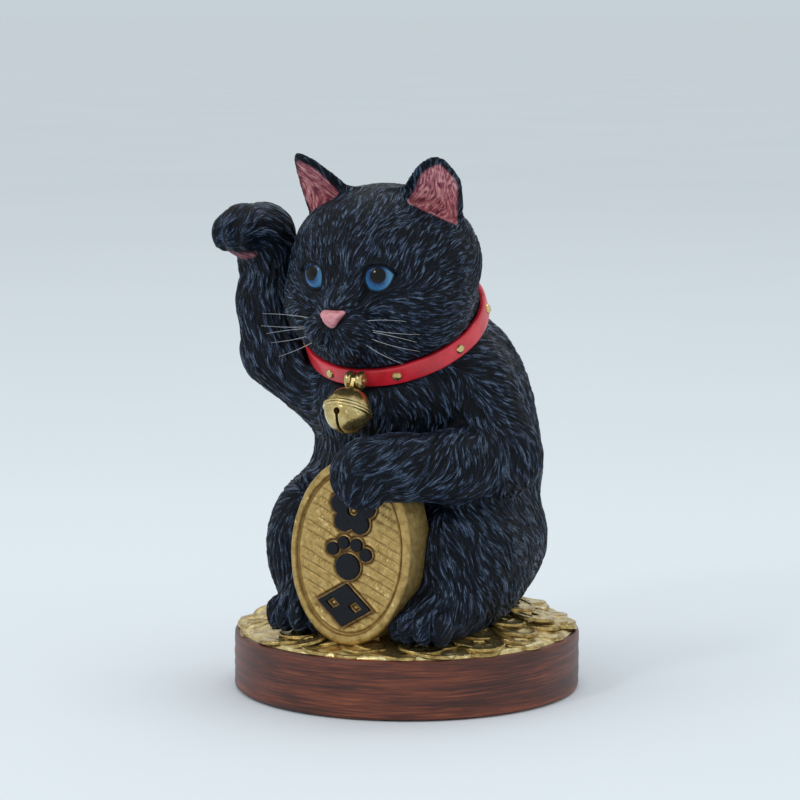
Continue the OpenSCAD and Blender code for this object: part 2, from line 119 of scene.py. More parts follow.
def hashed(i, j, k, seed):
    n = (i * 374761393 + j * 668265263 + k * 2147483647 + seed * 974634777) & 0xFFFFFFFF
    n = ((n ^ (n >> 13)) * 1274126177) & 0xFFFFFFFF
    n = ((n ^ (n >> 16)) * 2246822519) & 0xFFFFFFFF
    return (((n ^ (n >> 15)) & 0xFFFFFF) / float(0xFFFFFF) * 2 - 1).astype(np.float32)


def noise(p, size, seed=0):
    """Value noise from -1 to 1 with one lattice point every `size` mm."""
    q = p / size
    i = np.floor(q).astype(np.int64)
    f = (q - i).astype(np.float32)
    f = f * f * (3 - 2 * f)
    out = 0
    for dx in (0, 1):
        for dy in (0, 1):
            for dz in (0, 1):
                w = ((f[:, 0] if dx else 1 - f[:, 0]) * (f[:, 1] if dy else 1 - f[:, 1])
                     * (f[:, 2] if dz else 1 - f[:, 2]))
                out = out + w * hashed(i[:, 0] + dx, i[:, 1] + dy, i[:, 2] + dz, seed)
    return out


def rise(x, start, width):
    """A ramp from 0 at `start` to 1 a `width` farther on."""
    return np.clip((x - start) / width, 0, 1)


def hump(x, middle, width):
    """A smooth ridge of height 1."""
    return np.exp(-((x - middle) / width) ** 2)


# ------------------------------------------------------------------ solids as distance fields

FAR = 9.0


def smin(a, b, k):
    if k <= 0:
        return np.minimum(a, b)
    h = np.clip(0.5 + 0.5 * (b - a) / k, 0, 1)
    return b + (a - b) * h - k * h * (1 - h)


def smax(a, b, k):
    return -smin(-a, -b, k)


def ball(c, r):
    """An ellipsoid."""
    c, r = np.array(c, float), np.ones(3) * np.array(r, float)

    def fn(p):
        q = (p - c) / r
        k0 = np.sqrt((q * q).sum(1))
        q = q / r
        k1 = np.sqrt((q * q).sum(1))
        return k0 * (k0 - 1) / np.maximum(k1, 1e-6)
    return fn, c - r, c + r


def limb(a, ra, b, rb):
    """Two spheres and the cone between them."""
    a, b = np.array(a, float), np.array(b, float)
    ba = b - a
    l2 = ba @ ba
    rr = ra - rb
    a2 = l2 - rr * rr
    il2 = 1 / l2

    def fn(p):
        pa = p - a
        y = pa @ ba
        z = y - l2
        v = pa * l2 - ba * y[:, None]
        x2 = (v * v).sum(1)
        y2, z2 = y * y * l2, z * z * l2
        k = np.sign(rr) * rr * rr * x2
        d = (np.sqrt(x2 * a2 * il2) + y * rr) * il2 - ra
        low = np.sign(y) * a2 * y2 < k
        d = np.where(low, np.sqrt(x2 + y2) * il2 - ra, d)
        high = np.sign(z) * a2 * z2 > k
        return np.where(high, np.sqrt(x2 + z2) * il2 - rb, d)
    lo = np.minimum(a - ra, b - rb)
    hi = np.maximum(a + ra, b + rb)
    return fn, lo, hi


def faceted(points, r, soft=0.8):
    """The hull of a few points, rounded by r, with soft edges."""
    pts = np.array(points, float)
    mid = pts.mean(0)
    planes = []
    n = len(pts)
    for i in range(n):
        for j in range(i + 1, n):
            for k in range(j + 1, n):
                nm = np.cross(pts[j] - pts[i], pts[k] - pts[i])
                if np.linalg.norm(nm) < 1e-6:
                    continue
                nm = unit(nm)
                if (pts[i] - mid) @ nm < 0:
                    nm = -nm
                if ((pts - pts[i]) @ nm < 1e-6).all() and not any(
                        nm @ m > 0.9999 for m, _ in planes):
                    planes.append((nm, pts[i] @ nm))

    def fn(p):
        d = None
        for nm, off in planes:
            e = p @ nm - off
            d = e if d is None else smax(d, e, soft)
        return d - r
    return fn, pts.min(0) - r - 1, pts.max(0) + r + 1


def mirrored(shape):
    fn, lo, hi = shape

    def flipped(p):
        q = p.copy()
        q[:, 0] = -q[:, 0]
        return fn(q)
    return flipped, np.array([-hi[0], lo[1], lo[2]]), np.array([-lo[0], hi[1], hi[2]])


def anywhere(fn):
    """A shape without limits, such as a half space."""
    return fn, np.full(3, -1e3), np.full(3, 1e3)


class Form:
    """A solid made by adding and cutting shapes in order."""

    def __init__(self):
        self.parts = []

    def add(self, shape, k=0.0, flow=None):
        self.parts.append((1, k, *shape, flow))
        return self

    def cut(self, shape, k=0.0):
        self.parts.append((-1, k, *shape, None))
        return self

    def pair(self, shape, k=0.0, flow=None):
        other = None
        if flow is not None:
            kind, v = flow
            other = (kind, np.array(v, float) * [-1, 1, 1])
        return self.add(shape, k, flow).add(mirrored(shape), k, other)

    def at(self, p):
        p = np.asarray(p, float)
        d = np.full(len(p), FAR)
        for sign, k, fn, lo, hi, _ in self.parts:
            m = k + 2.5
            near = ((p > lo - m) & (p < hi + m)).all(1)
            if not near.any():
                continue
            e = fn(p[near])
            d[near] = smin(d[near], e, k) if sign > 0 else smax(d[near], -e, k)
        return d

    def grid(self, axes):
        d = np.full([len(a) for a in axes], FAR, np.float32)
        for sign, k, fn, lo, hi, _ in self.parts:
            m = k + 2.5
            cut = [slice(np.searchsorted(a, l - m), np.searchsorted(a, h + m))
                   for a, l, h in zip(axes, lo, hi)]
            sub = np.meshgrid(*[a[c] for a, c in zip(axes, cut)], indexing="ij")
            if not sub[0].size:
                continue
            p = np.stack([s.ravel() for s in sub], 1)
            e = fn(p).reshape(sub[0].shape)
            old = d[tuple(cut)]
            d[tuple(cut)] = smin(old, e, k) if sign > 0 else smax(old, -e, k)
        return d

    def slope(self, p, h=0.05):
        g = np.zeros_like(p)
        for e in ((1, -1, -1), (-1, -1, 1), (-1, 1, -1), (1, 1, 1)):
            e = np.array(e, float)
            g += self.at(p + h * e)[:, None] * e
        return g / (4 * h)

    def settle(self, p, steps=2, reach=0.6):
        for _ in range(steps):
            g = self.slope(p)
            d = self.at(p)
            step = d / np.maximum((g * g).sum(1), 0.15)
            p = p - np.clip(step, -reach, reach)[:, None] * g
        return p

    def flow(self, p):
        """Lie of the coat at each point, from the shapes that lie nearest."""
        ds, dirs = [], []
        for _, _, fn, lo, hi, flow in self.parts:
            if flow is None:
                continue
            d = np.full(len(p), 40.0)
            near = ((p > lo - 9) & (p < hi + 9)).all(1)
            d[near] = fn(p[near])
            kind, v = flow
            v = np.array(v, float)
            ds.append(d)
            dirs.append(np.tile(unit(v), (len(p), 1)) if kind == "to" else unit(p - v))
        ds = np.array(ds)
        w = np.exp(-(ds - ds.min(0)) / 2.5)
        return unit((w[:, :, None] * np.array(dirs)).sum(0))


CORNERS = [(0, 0, 0), (1, 0, 0), (1, 1, 0), (0, 1, 0), (0, 0, 1), (1, 0, 1), (1, 1, 1), (0, 1, 1)]
EDGES = [(0, 1), (1, 2), (3, 2), (0, 3), (4, 5), (5, 6), (7, 6), (4, 7), (0, 4), (1, 5), (2, 6), (3, 7)]


def nets(d, axes):
    """Surface nets: one vertex a crossed cell, one quad a crossed edge."""
    inside = d < 0
    shape = np.array(d.shape) - 1
    count = sum(inside[i:i + shape[0], j:j + shape[1], k:k + shape[2]].astype(np.int8)
                for i, j, k in CORNERS)
    cells = np.array(np.nonzero((count > 0) & (count < 8))).T
    ids = np.full(shape, -1, np.int32)
    ids[tuple(cells.T)] = np.arange(len(cells))
    val, pos = [], []
    for c in CORNERS:
        at = cells + c
        val.append(d[tuple(at.T)])
        pos.append(np.stack([axes[n][at[:, n]] for n in range(3)], 1))
    total, hits = np.zeros((len(cells), 3)), np.zeros(len(cells))
    for a, b in EDGES:
        crossed = (val[a] < 0) != (val[b] < 0)
        t = np.where(crossed, val[a] / np.where(crossed, val[a] - val[b], 1), 0)[:, None]
        total += np.where(crossed[:, None], pos[a] + t * (pos[b] - pos[a]), 0)
        hits += crossed
    verts = total / hits[:, None]
    quads = []
    for ax in range(3):
        u, v = (ax + 1) % 3, (ax + 2) % 3
        first = [slice(1, -1)] * 3
        second = [slice(1, -1)] * 3
        first[ax], second[ax] = slice(0, -1), slice(1, None)
        a, b = inside[tuple(first)], inside[tuple(second)]
        at = np.array(np.nonzero(a != b)).T
        at[:, u] += 1
        at[:, v] += 1
        ring = []
        for du, dv in ((1, 1), (0, 1), (0, 0), (1, 0)):
            q = at.copy()
            q[:, u] -= du
            q[:, v] -= dv
            ring.append(ids[tuple(q.T)])
        ring = np.array(ring).T
        back = at.copy()
        back[:, u] -= 1
        back[:, v] -= 1
        solid_first = a[tuple(back.T)]
        ring[~solid_first] = ring[~solid_first][:, ::-1]
        quads.append(ring)
    return verts, np.concatenate(quads), ids


def edge_list(quads):
    e = np.concatenate([quads[:, [0, 1]], quads[:, [1, 2]], quads[:, [2, 3]], quads[:, [3, 0]]])
    e = np.sort(e, 1)
    n = int(e.max()) + 1
    key, inv = np.unique(e[:, 0].astype(np.int64) * n + e[:, 1], return_inverse=True)
    return np.stack([key // n, key % n], 1), inv.reshape(4, -1).T


def spread(verts, quads, form, rounds):
    """Evens out the vertices along the surface."""
    edges, _ = edge_list(quads)
    n = len(verts)
    deg = np.bincount(edges.ravel(), minlength=n)[:, None]
    for _ in range(rounds):
        s = np.stack([np.bincount(edges[:, 0], verts[edges[:, 1], c], n)
                      + np.bincount(edges[:, 1], verts[edges[:, 0], c], n) for c in range(3)], 1)
        verts = form.settle(verts + 0.5 * (s / deg - verts), 1)
    return verts


def split_quads(verts, quads):
    edges, inv = edge_list(quads)
    n, m = len(verts), len(edges)
    mids = (verts[edges[:, 0]] + verts[edges[:, 1]]) / 2
    cents = verts[quads].mean(1)
    e = n + inv
    c = n + m + np.arange(len(quads))
    new = [np.stack([quads[:, i], e[:, i], c, e[:, (i + 3) % 4]], 1) for i in range(4)]
    return np.concatenate([verts, mids, cents]), np.concatenate(new)


def steps(lo, hi, step):
    return lo + step * np.arange(int(math.ceil((hi - lo) / step)) + 1)


def uneven(lo, hi, step, fine, f_lo, f_hi):
    """Grid positions with a finer pitch between f_lo and f_hi."""
    out = [lo]
    while out[-1] < hi:
        mid = out[-1] + step / 2
        out.append(out[-1] + (fine if f_lo < mid < f_hi else step))
    return np.array(out)


def solid_mesh(form, axes, rounds=1):
    """A form's skin: its vertices, its quads and the vertex that each grid cell holds."""
    verts, quads, ids = nets(form.grid(axes), axes)
    verts = spread(form.settle(verts, 2), quads, form, rounds)
    return verts, quads, ids


# ------------------------------------------------------------------ meshes in the scene

def put_mesh(name, verts, faces, material, normals=None, attrs=None, local=True):
    """A smooth mesh; `verts` are in mm, in the cat's own frame if `local`."""
    verts = np.asarray(verts, float)
    if local:
        verts = verts + CAT
    me = bpy.data.meshes.new(name)
    if isinstance(faces, np.ndarray):
        w = faces.shape[1]
        me.vertices.add(len(verts))
        me.vertices.foreach_set("co", (verts * MM).astype(np.float32).ravel())
        me.loops.add(faces.size)
        me.loops.foreach_set("vertex_index", faces.astype(np.int32).ravel())
        me.polygons.add(len(faces))
        me.polygons.foreach_set("loop_start", np.arange(0, faces.size, w, dtype=np.int32))
        me.polygons.foreach_set("loop_total", np.full(len(faces), w, np.int32))
        me.update(calc_edges=True)
    else:
        me.from_pydata([tuple(v) for v in verts * MM], [], faces)
    me.validate()
    me.shade_smooth()
    for key, val in (attrs or {}).items():
        val = np.asarray(val, np.float32)
        if val.ndim == 2:
            me.attributes.new(key, "FLOAT_VECTOR", "POINT").data.foreach_set("vector", val.ravel())
        else:
            me.attributes.new(key, "FLOAT", "POINT").data.foreach_set("value", val)
    if normals is not None:
        me.normals_split_custom_set_from_vertices(normals.astype(np.float32))
    me.materials.append(material)
    ob = bpy.data.objects.new(name, me)
    bpy.context.scene.collection.objects.link(ob)
    return ob


def piece(ob, body, slot, *nodes):
    """Says which body a mesh rides on and hides the CAD nodes it stands for; `slot` is not used."""
    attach(ob, body)
    if nodes:
        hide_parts(*nodes)


def vertex_normals(verts, quads):
    a, b, c, d = verts[quads.T]
    normal = np.cross(c - a, d - b)
    out = np.zeros_like(verts)
    for corner in quads.T:
        for axis in range(3):
            out[:, axis] += np.bincount(corner, normal[:, axis], len(verts))
    return unit(out)


def ring_faces(rows, cols):
    """Quads of a grid of rows x cols whose rows close on themselves."""
    i, j = np.meshgrid(np.arange(rows - 1), np.arange(cols), indexing="ij")
    i, j = i.ravel(), j.ravel()
    k = (j + 1) % cols
    return np.stack([i * cols + j, i * cols + k, (i + 1) * cols + k, (i + 1) * cols + j], 1)


def lathe(profile, sides, frame_m=np.eye(3), origin=(0, 0, 0), shape=None):
    """Turns an (r, z) profile about Z; rows run along the profile. `shape` may move the points."""
    prof = np.array(profile, float)
    a = np.arange(sides) * 2 * math.pi / sides
    r, z = prof[:, :1], prof[:, 1:]
    p = np.stack([r * np.cos(a), r * np.sin(a), z + 0 * a], 2).reshape(-1, 3)
    if shape is not None:
        p = shape(p)
    return p @ np.array(frame_m).T + np.array(origin), ring_faces(len(prof), sides)[:, ::-1]


def quarter(count, first=1):
    """Angles of a quarter turn in `count` steps."""
    return [math.pi / 2 * i / count for i in range(first, count + 1)]


def bend_out(r, z, bend, angles):
    """Profile points round the lower corner at r and z, out into the wall."""
    return [(r - bend + bend * math.sin(t), z + bend - bend * math.cos(t)) for t in angles]


def bend_in(r, z, bend, angles):
    """Profile points round the upper corner at r and z, off the wall."""
    return [(r - bend + bend * math.cos(t), z - bend + bend * math.sin(t)) for t in angles]


def tube(points, radii, sides):
    """A round rod through points, with closed ends."""
    pts = np.array(points, float)
    radii = np.broadcast_to(radii, len(pts))
    tan = unit(np.gradient(pts, axis=0))
    ref = np.array([0, 0, 1.0]) if abs(tan[0, 2]) < 0.9 else np.array([1.0, 0, 0])
    u = unit(np.cross(tan, ref))
    v = np.cross(tan, u)
    a = np.arange(sides) * 2 * math.pi / sides
    ring = pts[:, None] + radii[:, None, None] * (
        u[:, None] * np.cos(a)[None, :, None] + v[:, None] * np.sin(a)[None, :, None])
    verts = ring.reshape(-1, 3)
    faces = [tuple(f) for f in ring_faces(len(pts), sides)]
    faces.append(tuple(range(sides))[::-1])
    faces.append(tuple(range((len(pts) - 1) * sides, len(pts) * sides)))
    return verts, faces


def join_up(parts):
    """Several (verts, faces) lists as one."""
    vs, fs, n = [], [], 0
    for v, f in parts:
        vs.append(v)
        fs += [tuple(int(i) + n for i in face) for face in f]
        n += len(v)
    return np.concatenate(vs), fs


# ------------------------------------------------------------------ materials

def lin(r, g, b):
    """sRGB 0-255 to a linear colour."""
    out = []
    for c in (r, g, b):
        c /= 255
        out.append(c / 12.92 if c <= 0.04045 else ((c + 0.055) / 1.055) ** 2.4)
    return (*out, 1.0)


MAT = {}


class Look:
    """A node material, built with short calls and kept in MAT by its name."""

    SOCKETS = {"color": "Base Color", "rough": "Roughness", "metal": "Metallic", "spec": "Specular IOR Level",
               "coat": "Coat Weight", "coat_rough": "Coat Roughness", "normal": "Normal"}

    def __init__(self, name):
        self.mat = bpy.data.materials.new(name)
        self.mat.use_nodes = True
        self.nt = self.mat.node_tree
        self.bsdf = self.nt.nodes["Principled BSDF"]
        MAT[name] = self.mat

    def feed(self, socket, value):
        if isinstance(value, bpy.types.NodeSocket):
            self.nt.links.new(value, socket)
        else:
            socket.default_value = value

    def set(self, **sockets):
        for key, value in sockets.items():
            self.feed(self.bsdf.inputs[self.SOCKETS[key]], value)

    def node(self, kind, ins=None, out=0, **attrs):
        n = self.nt.nodes.new("ShaderNode" + kind)
        for key, value in attrs.items():
            setattr(n, key, value)
        for key, value in (ins or {}).items():
            self.feed(n.inputs[key], value)
        return n.outputs[out]

    def coords(self, scale=(1, 1, 1)):
        """Object coordinates in millimetres, stretched."""
        c = self.node("TexCoord", out=3)
        return self.node("Mapping", {"Vector": c, "Scale": [s / MM for s in scale]})

    def noise(self, scale=1.0, detail=3, rough=0.5, stretch=(1, 1, 1), distort=0.0):
        return self.node("TexNoise", {"Vector": self.coords(stretch), "Scale": scale, "Detail": detail,
                                      "Roughness": rough, "Distortion": distort})

    def strands(self, along, pace, scale):
        """Noise drawn out along a direction that each vertex carries, 0 to 1."""
        total = None
        at = self.coords()
        for k in range(-3, 4):
            p = self.node("VectorMath", {0: along, 1: (k * pace,) * 3, 2: at}, operation="MULTIPLY_ADD")
            n = self.node("TexNoise", {"Vector": p, "Scale": scale, "Detail": 0.0})
            total = n if total is None else self.math("ADD", total, n)
        return self.math("MULTIPLY_ADD", total, 0.66, -1.81, clamp=True)

    def attr(self, name):
        return self.node("Attribute", out=2, attribute_name=name)

    def ramp(self, fac, stops):
        n = self.nt.nodes.new("ShaderNodeValToRGB")
        el = n.color_ramp.elements
        while len(el) < len(stops):
            el.new(0.5)
        for e, (pos, col) in zip(el, stops):
            e.position = pos
            e.color = col if isinstance(col, tuple) else (col, col, col, 1)
        self.nt.links.new(fac, n.inputs[0])
        return n.outputs[0]

    def mix(self, fac, a, b, mode="MIX"):
        return self.node("Mix", {0: fac, 6: a, 7: b}, out=2, data_type="RGBA", blend_type=mode)

    def math(self, op, a, b=0.0, c=0.0, clamp=False):
        return self.node("Math", {0: a, 1: b, 2: c}, operation=op, use_clamp=clamp)

    def bump(self, height, distance=0.1, strength=1.0):
        return self.node("Bump", {"Height": height, "Distance": distance * MM, "Strength": strength})

    def hollow_shade_edge_light(self):
        """Painted shade in the hollows and painted highlight on the edges, from the mesh's own curvature."""
        return self.node("NewGeometry", out=7)


def fur_look():
    m = Look("fur")
    f = m.attr("fur")
    strand = m.strands(m.node("Attribute", out=1, attribute_name="flow"), 0.34, 3.0)
    patch = m.noise(0.12, 3, 0.55)
    lit = m.math("ADD", m.math("MULTIPLY", f, 0.46), m.math("MULTIPLY", strand, 0.54))
    base = m.ramp(lit, [(0.2, lin(2, 4, 8)), (0.5, lin(11, 19, 31)), (0.66, lin(34, 48, 68)),
                        (0.88, lin(94, 111, 136))])
    cool = m.ramp(patch, [(0.35, lin(206, 214, 224)), (0.62, lin(255, 252, 250))])
    col = m.mix(1.0, base, cool, "MULTIPLY")
    pink = m.attr("pink")
    skin = m.ramp(m.math("ADD", m.math("MULTIPLY", lit, 0.8), m.math("MULTIPLY", m.noise(0.35, 3), 0.5)),
                  [(0.3, lin(70, 36, 48)), (0.55, lin(150, 84, 98)), (0.75, lin(206, 132, 138)),
                   (0.95, lin(232, 184, 180))])
    m.set(color=m.mix(pink, col, skin))
    m.set(rough=m.ramp(lit, [(0.2, 0.6), (0.9, 0.4)]), spec=0.16, normal=m.bump(strand, 0.16, 0.8))


def gold_look(name, dark, mid, light, rough, metal, scale, bump, shaded_recesses=False):
    m = Look(name)
    edge = m.hollow_shade_edge_light()
    n = m.noise(0.35 * scale, 4, 0.6)
    fine = m.noise(1.6 * scale, 4, 0.65)
    # painted shade in the hollows and painted highlight on the edges, mixed with noise, drive the gold's ramp
    fac = m.math("ADD", m.math("MULTIPLY", m.math("SUBTRACT", edge, 0.5), 2.6),
                 m.math("ADD", m.math("MULTIPLY", n, 0.75), 0.12))
    col = m.ramp(fac, [(0.16, lin(*dark)), (0.45, lin(*mid)), (0.8, lin(*light))])
    # painted shade: brown mixed into the koban's recessed moat, engraved lines and the rings round its
    # ornaments
    if shaded_recesses:
        col = m.mix(m.math("MULTIPLY", m.attr("recess_shade"), 0.8), col, lin(92, 50, 18))
    m.set(color=col, metal=metal,
          rough=m.ramp(fine, [(0.3, rough * 0.8), (0.7, rough * 1.45)]), normal=m.bump(fine, bump, 0.7))


def wood_look():
    m = Look("wood")
    streak = m.noise(1.0, 6, 0.7, (0.075, 0.075, 2.3), 0.3)
    broad = m.noise(1.0, 3, 0.5, (0.03, 0.03, 0.3))
    fac = m.math("ADD", m.math("MULTIPLY", streak, 0.68), m.math("MULTIPLY", broad, 0.42))
    col = m.ramp(fac, [(0.36, lin(32, 15, 12)), (0.5, lin(72, 34, 25)), (0.6, lin(108, 52, 34)),
                       (0.76, lin(160, 86, 50))])
    m.set(color=col, rough=m.ramp(streak, [(0.3, 0.4), (0.7, 0.52)]), spec=0.4, coat=0.12, coat_rough=0.25,
          normal=m.bump(streak, 0.12, 0.7))


def collar_look():
    m = Look("collar_red")
    broad = m.noise(0.16, 4, 0.6)
    fine = m.noise(2.0, 3, 0.6)
    hollow_shade_edge_light = m.hollow_shade_edge_light()
    col = m.ramp(broad, [(0.3, lin(190, 22, 38)), (0.55, lin(220, 36, 54)), (0.75, lin(230, 56, 74))])
    # painted shade: the band turns dark red where its surface is hollow
    col = m.mix(m.ramp(hollow_shade_edge_light, [(0.38, 1.0), (0.47, 0.0)]), col, lin(62, 8, 18))
    m.set(color=col, rough=m.ramp(fine, [(0.3, 0.3), (0.7, 0.42)]), coat=0.3, coat_rough=0.22,
          normal=m.bump(fine, 0.04, 0.6))


def plain_look(name, dark, light, rough, scale=1.0, metal=0.0, bump=0.05, **more):
    m = Look(name)
    n = m.noise(scale, 4, 0.6)
    m.set(color=m.ramp(n, [(0.3, lin(*dark)), (0.7, lin(*light))]),
          rough=m.ramp(n, [(0.3, rough * 0.85), (0.7, rough * 1.15)]),
          metal=metal, normal=m.bump(n, bump, 0.7), **more)


def eye_look():
    """Object Z runs along the gaze; the iris and pupil are rings about it."""
    m = Look("eye")
    c = m.node("TexCoord", out=3)
    x, y = m.node("SeparateXYZ", {0: c}).node.outputs[:2]
    r = m.math("SQRT", m.math("ADD", m.math("MULTIPLY", x, x), m.math("MULTIPLY", y, y)))
    r = m.math("MULTIPLY", r, 1 / MM)
    grain = m.node("TexNoise", {"Vector": c, "Scale": 900.0, "Detail": 4, "Roughness": 0.6})
    ang = m.math("MULTIPLY", m.math("ARCTAN2", y, x), 7.0)
    spokes = m.node("CombineXYZ", {0: ang, 1: m.math("MULTIPLY", r, 0.6)})
    fibre = m.node("TexNoise", {"Vector": spokes, "Scale": 1.6, "Detail": 3, "Roughness": 0.6})
    tone = m.math("ADD", m.math("MULTIPLY", r, 0.2), m.math("MULTIPLY", fibre, 0.42))
    tone = m.math("ADD", tone, m.math("MULTIPLY", grain, 0.18))
    iris = m.ramp(tone, [(0.55, lin(6, 24, 62)), (0.8, lin(18, 60, 112)), (1.0, lin(56, 114, 162))])
    light = m.ramp(m.math("ADD", m.math("MULTIPLY", x, 160.0), 0.12), [(0.3, 0.0), (0.85, 0.75)])
    iris = m.mix(light, iris, lin(104, 164, 200))
    pupil = m.ramp(m.math("MULTIPLY", r, 0.2), [(0.425, 1.0), (0.455, 0.0)])
    m.set(color=m.mix(pupil, iris, lin(2, 3, 5)), rough=0.25, coat=0.5, coat_rough=0.02, spec=0.02,
          normal=m.bump(fibre, 0.02, 0.4))


fur_look()
wood_look()
collar_look()
gold_look("coin_gold", (62, 44, 22), (190, 162, 100), (252, 238, 188),
          rough=0.2, metal=0.88, scale=1.3, bump=0.1)
gold_look("koban_gold", (98, 72, 34), (176, 146, 86), (226, 198, 134),
          rough=0.36, metal=0.7, scale=1.6, bump=0.08, shaded_recesses=True)
gold_look("brass", (72, 56, 30), (188, 162, 102), (242, 226, 172),
          rough=0.2, metal=0.9, scale=0.8, bump=0.06)
plain_look("felt", (18, 20, 24), (40, 42, 46), 0.95, 3.0, bump=0.3)
plain_look("emblem_black", (8, 10, 15), (20, 24, 33), 0.45, 0.9, spec=0.2)
plain_look("steel", (120, 122, 126), (170, 172, 176), 0.3, metal=1.0)
plain_look("dowel", (120, 88, 56), (170, 132, 88), 0.6, 0.6)
eye_look()
plain_look("whisker", (140, 146, 152), (196, 200, 204), 0.4, 1.5)
plain_look("nose", (186, 112, 120), (226, 160, 166), 0.42, 0.7, bump=0.12)


# ------------------------------------------------------------------ the cat's solid

def collar_local(p):
    return (p - COLLAR_C) @ COLLAR_M


def collar_groove(p):
    """Ring that the band lies in."""
    q = collar_local(p)
    r = np.hypot(q[:, 0], q[:, 1])
    return smax(smax(COLLAR_IN - 0.15 - r, np.abs(q[:, 2]) - COLLAR_W / 2 - 0.2, 0.8), r - COLLAR_R - 1.2, 0.8)


def collar_core(p):
    q = collar_local(p)
    r = np.hypot(q[:, 0], q[:, 1])
    return smax(r - COLLAR_IN + 0.05, np.abs(q[:, 2] + 1) - 10, 0.5)


REACH = np.array([36.0, 36.0, 26.0])
GROOVE = (collar_groove, COLLAR_C - REACH, COLLAR_C + REACH)
CORE = (collar_core, COLLAR_C - REACH, COLLAR_C + REACH)


def koban_space(p):
    q = (p + CAT - KOBAN_FACE) @ KOBAN_M
    k = np.sqrt((q[:, 0] / (KOBAN_W / 2)) ** 2 + (q[:, 2] / (KOBAN_H / 2)) ** 2)
    flat = (k - 1) * KOBAN_W / 2
    return smax(flat, np.abs(q[:, 1] - KOBAN_T / 2) - KOBAN_T / 2, 0.6) + 0.15


KOBAN_REACH = np.array([24.0, 16.0, 32.0])
KOBAN_CUT = (koban_space, KOBAN_FACE - CAT - KOBAN_REACH, KOBAN_FACE - CAT + KOBAN_REACH)

DOWN = (0, 0, -1)


def torso_form():
    f = Form()
    back = ("from", (0, -30, 104))
    f.add(ball((0, 8, 43), (35.5, 34.5, 27)), 0, ("to", (0, 0.35, -1)))
    f.add(ball((0, 9.5, 64), (33, 34.5, 30)), 4, ("to", (0, 0.35, -1)))
    f.add(ball((0, 9, 78), (31, 32, 28)), 4, ("from", (0, -26, 112)))
    f.add(ball((0, 5, 89), (29, 28, 23)), 4, back)
    f.add(ball((0, -8, 86), (24, 24.8, 22)), 4, back)
    f.add(ball((0, -8, 60), (22, 20.5, 24)), 4, ("to", DOWN))
    f.add(ball((0, -6, 100), (24, 24, 20)), 3, back)
    f.pair(ball((24.2, -8, 42), (13.6, 25, 22)), 5, ("from", (18, -40, 74)))
    f.pair(ball((21, -5, 88), (11, 13, 15)), 5, ("from", (16, -24, 100)))
    for x in (20.8, -18.2):
        at = lambda q, dx=x: (q[0] + dx, q[1], q[2])
        f.add(ball(at((0.4, -22.5, 27.5)), (10.6, 17.0, 9.2)), 4, ("from", at((0, 0, 44))))
        for q in ((-6.0, -35.6, 25.3), (-1.9, -37.6, 25.5), (2.6, -37.8, 25.5), (6.9, -35.4, 25.3)):
            f.add(ball(at(q), (2.75, 4.8, 5.0)), 0.9, ("from", at((0, -20, 44))))
    tail = [((0, 35, 27), 6.5), ((-12, 40, 25.5), 5.5), ((-26, 35, 24.5), 4.6), ((-34, 26, 24), 3.6)]
    for (a, ra), (b, rb) in zip(tail, tail[1:]):
        f.add(limb(a, ra, b, rb), 2.2, ("to", np.array(b) - np.array(a)))
    return f


# middle and half sizes of the raised paw's pad
PAW_PAD = (-38.4, -28.4, 127.6), (5.2, 5.4, 2.6)


def arm_forms():
    up = Form()
    line = [((-18, -10, 87), 14), ((-34.6, -16, 97.5), 10.8), ((-36.2, -19, 112), 9.2),
            ((-36, -20, 124), 7.9), ((-36.5, -22, 131), 8.6), ((-38, -30.5, 133), 7.3)]
    for (a, ra), (b, rb) in zip(line, line[1:]):
        up.add(limb(a, ra, b, rb), 2.5, ("to", np.array(b) - np.array(a)))
    for q in ((-34.4, -33.4, 132.2), (-38.6, -34.6, 132.6), (-42.6, -33.2, 132.0)):
        up.add(ball(q, (2.9, 5, 5.1)), 0.8, ("to", (0, -0.5, -1)))
    for x, y in ((-36.5, -38.9), (-40.6, -39.2)):
        up.cut(limb((x, y, 136.6), 0.9, (x, y + 0.3, 128.4), 0.9), 0.9)
    up.add(ball(*PAW_PAD), 1.0, ("to", (0, -1, 0)))
    low = Form()
    line = [((20, -5, 88), 13.5), ((32, -7, 70), 11), ((26, -26, 69), 9.8), ((16, -40, 70), 9),
            ((9.5, -45, 70), 8.4)]
    shoulder = (27, -14, 92)
    for n, ((a, ra), (b, rb)) in enumerate(zip(line, line[1:])):
        low.add(limb(a, ra, b, rb), 2.5, ("from", shoulder) if n < 3 else ("to", (-0.75, -0.5, -0.35)))
    for q, r in (((3.8, -46, 68), (4.2, 5.4, 7)), ((8.2, -48.6, 66.2), (4, 4.8, 7.2)),
                 ((12.6, -47.6, 66), (3.9, 4.8, 7))):
        low.add(ball(q, r), 1.1, ("to", (-0.25, -0.3, -1)))
    return up, low


def body_form():
    f = torso_form()
    f.add(CORE, 1.0)
    f.cut(OVER_SIDE, 0.2)
    up, low = arm_forms()
    for arm in (up, low):
        n = len(f.parts)
        f.parts += arm.parts
        f.parts[n] = (1, 3.0, *f.parts[n][2:])
    f.cut(GROOVE, 0.6)
    f.cut(KOBAN_CUT, 0.3)
    f.cut(BELOW_SEAT, 0.2)
    return f, up, low


# Everything over the collar's middle plane, and everything under it.
OVER_SIDE = anywhere(lambda p: -(p - COLLAR_C) @ COLLAR_M[:, 2])
UNDER_SIDE = anywhere(lambda p: (p - COLLAR_C) @ COLLAR_M[:, 2])
BELOW_SEAT = anywhere(lambda p: p[:, 2] - (SEAT - 0.6))

# Each eye's own frame: out of the head, sideways away from the nose, and up.
EYE_TURN = math.radians(17)
EYE_OUT = np.array([math.sin(EYE_TURN), -math.cos(EYE_TURN), 0.0])
EYE_SIDE = np.array([math.cos(EYE_TURN), math.sin(EYE_TURN), 0.0])
EYE_UP = np.array([0.0, 0.0, 1.0])
LID_R = EYE_R + 0.75


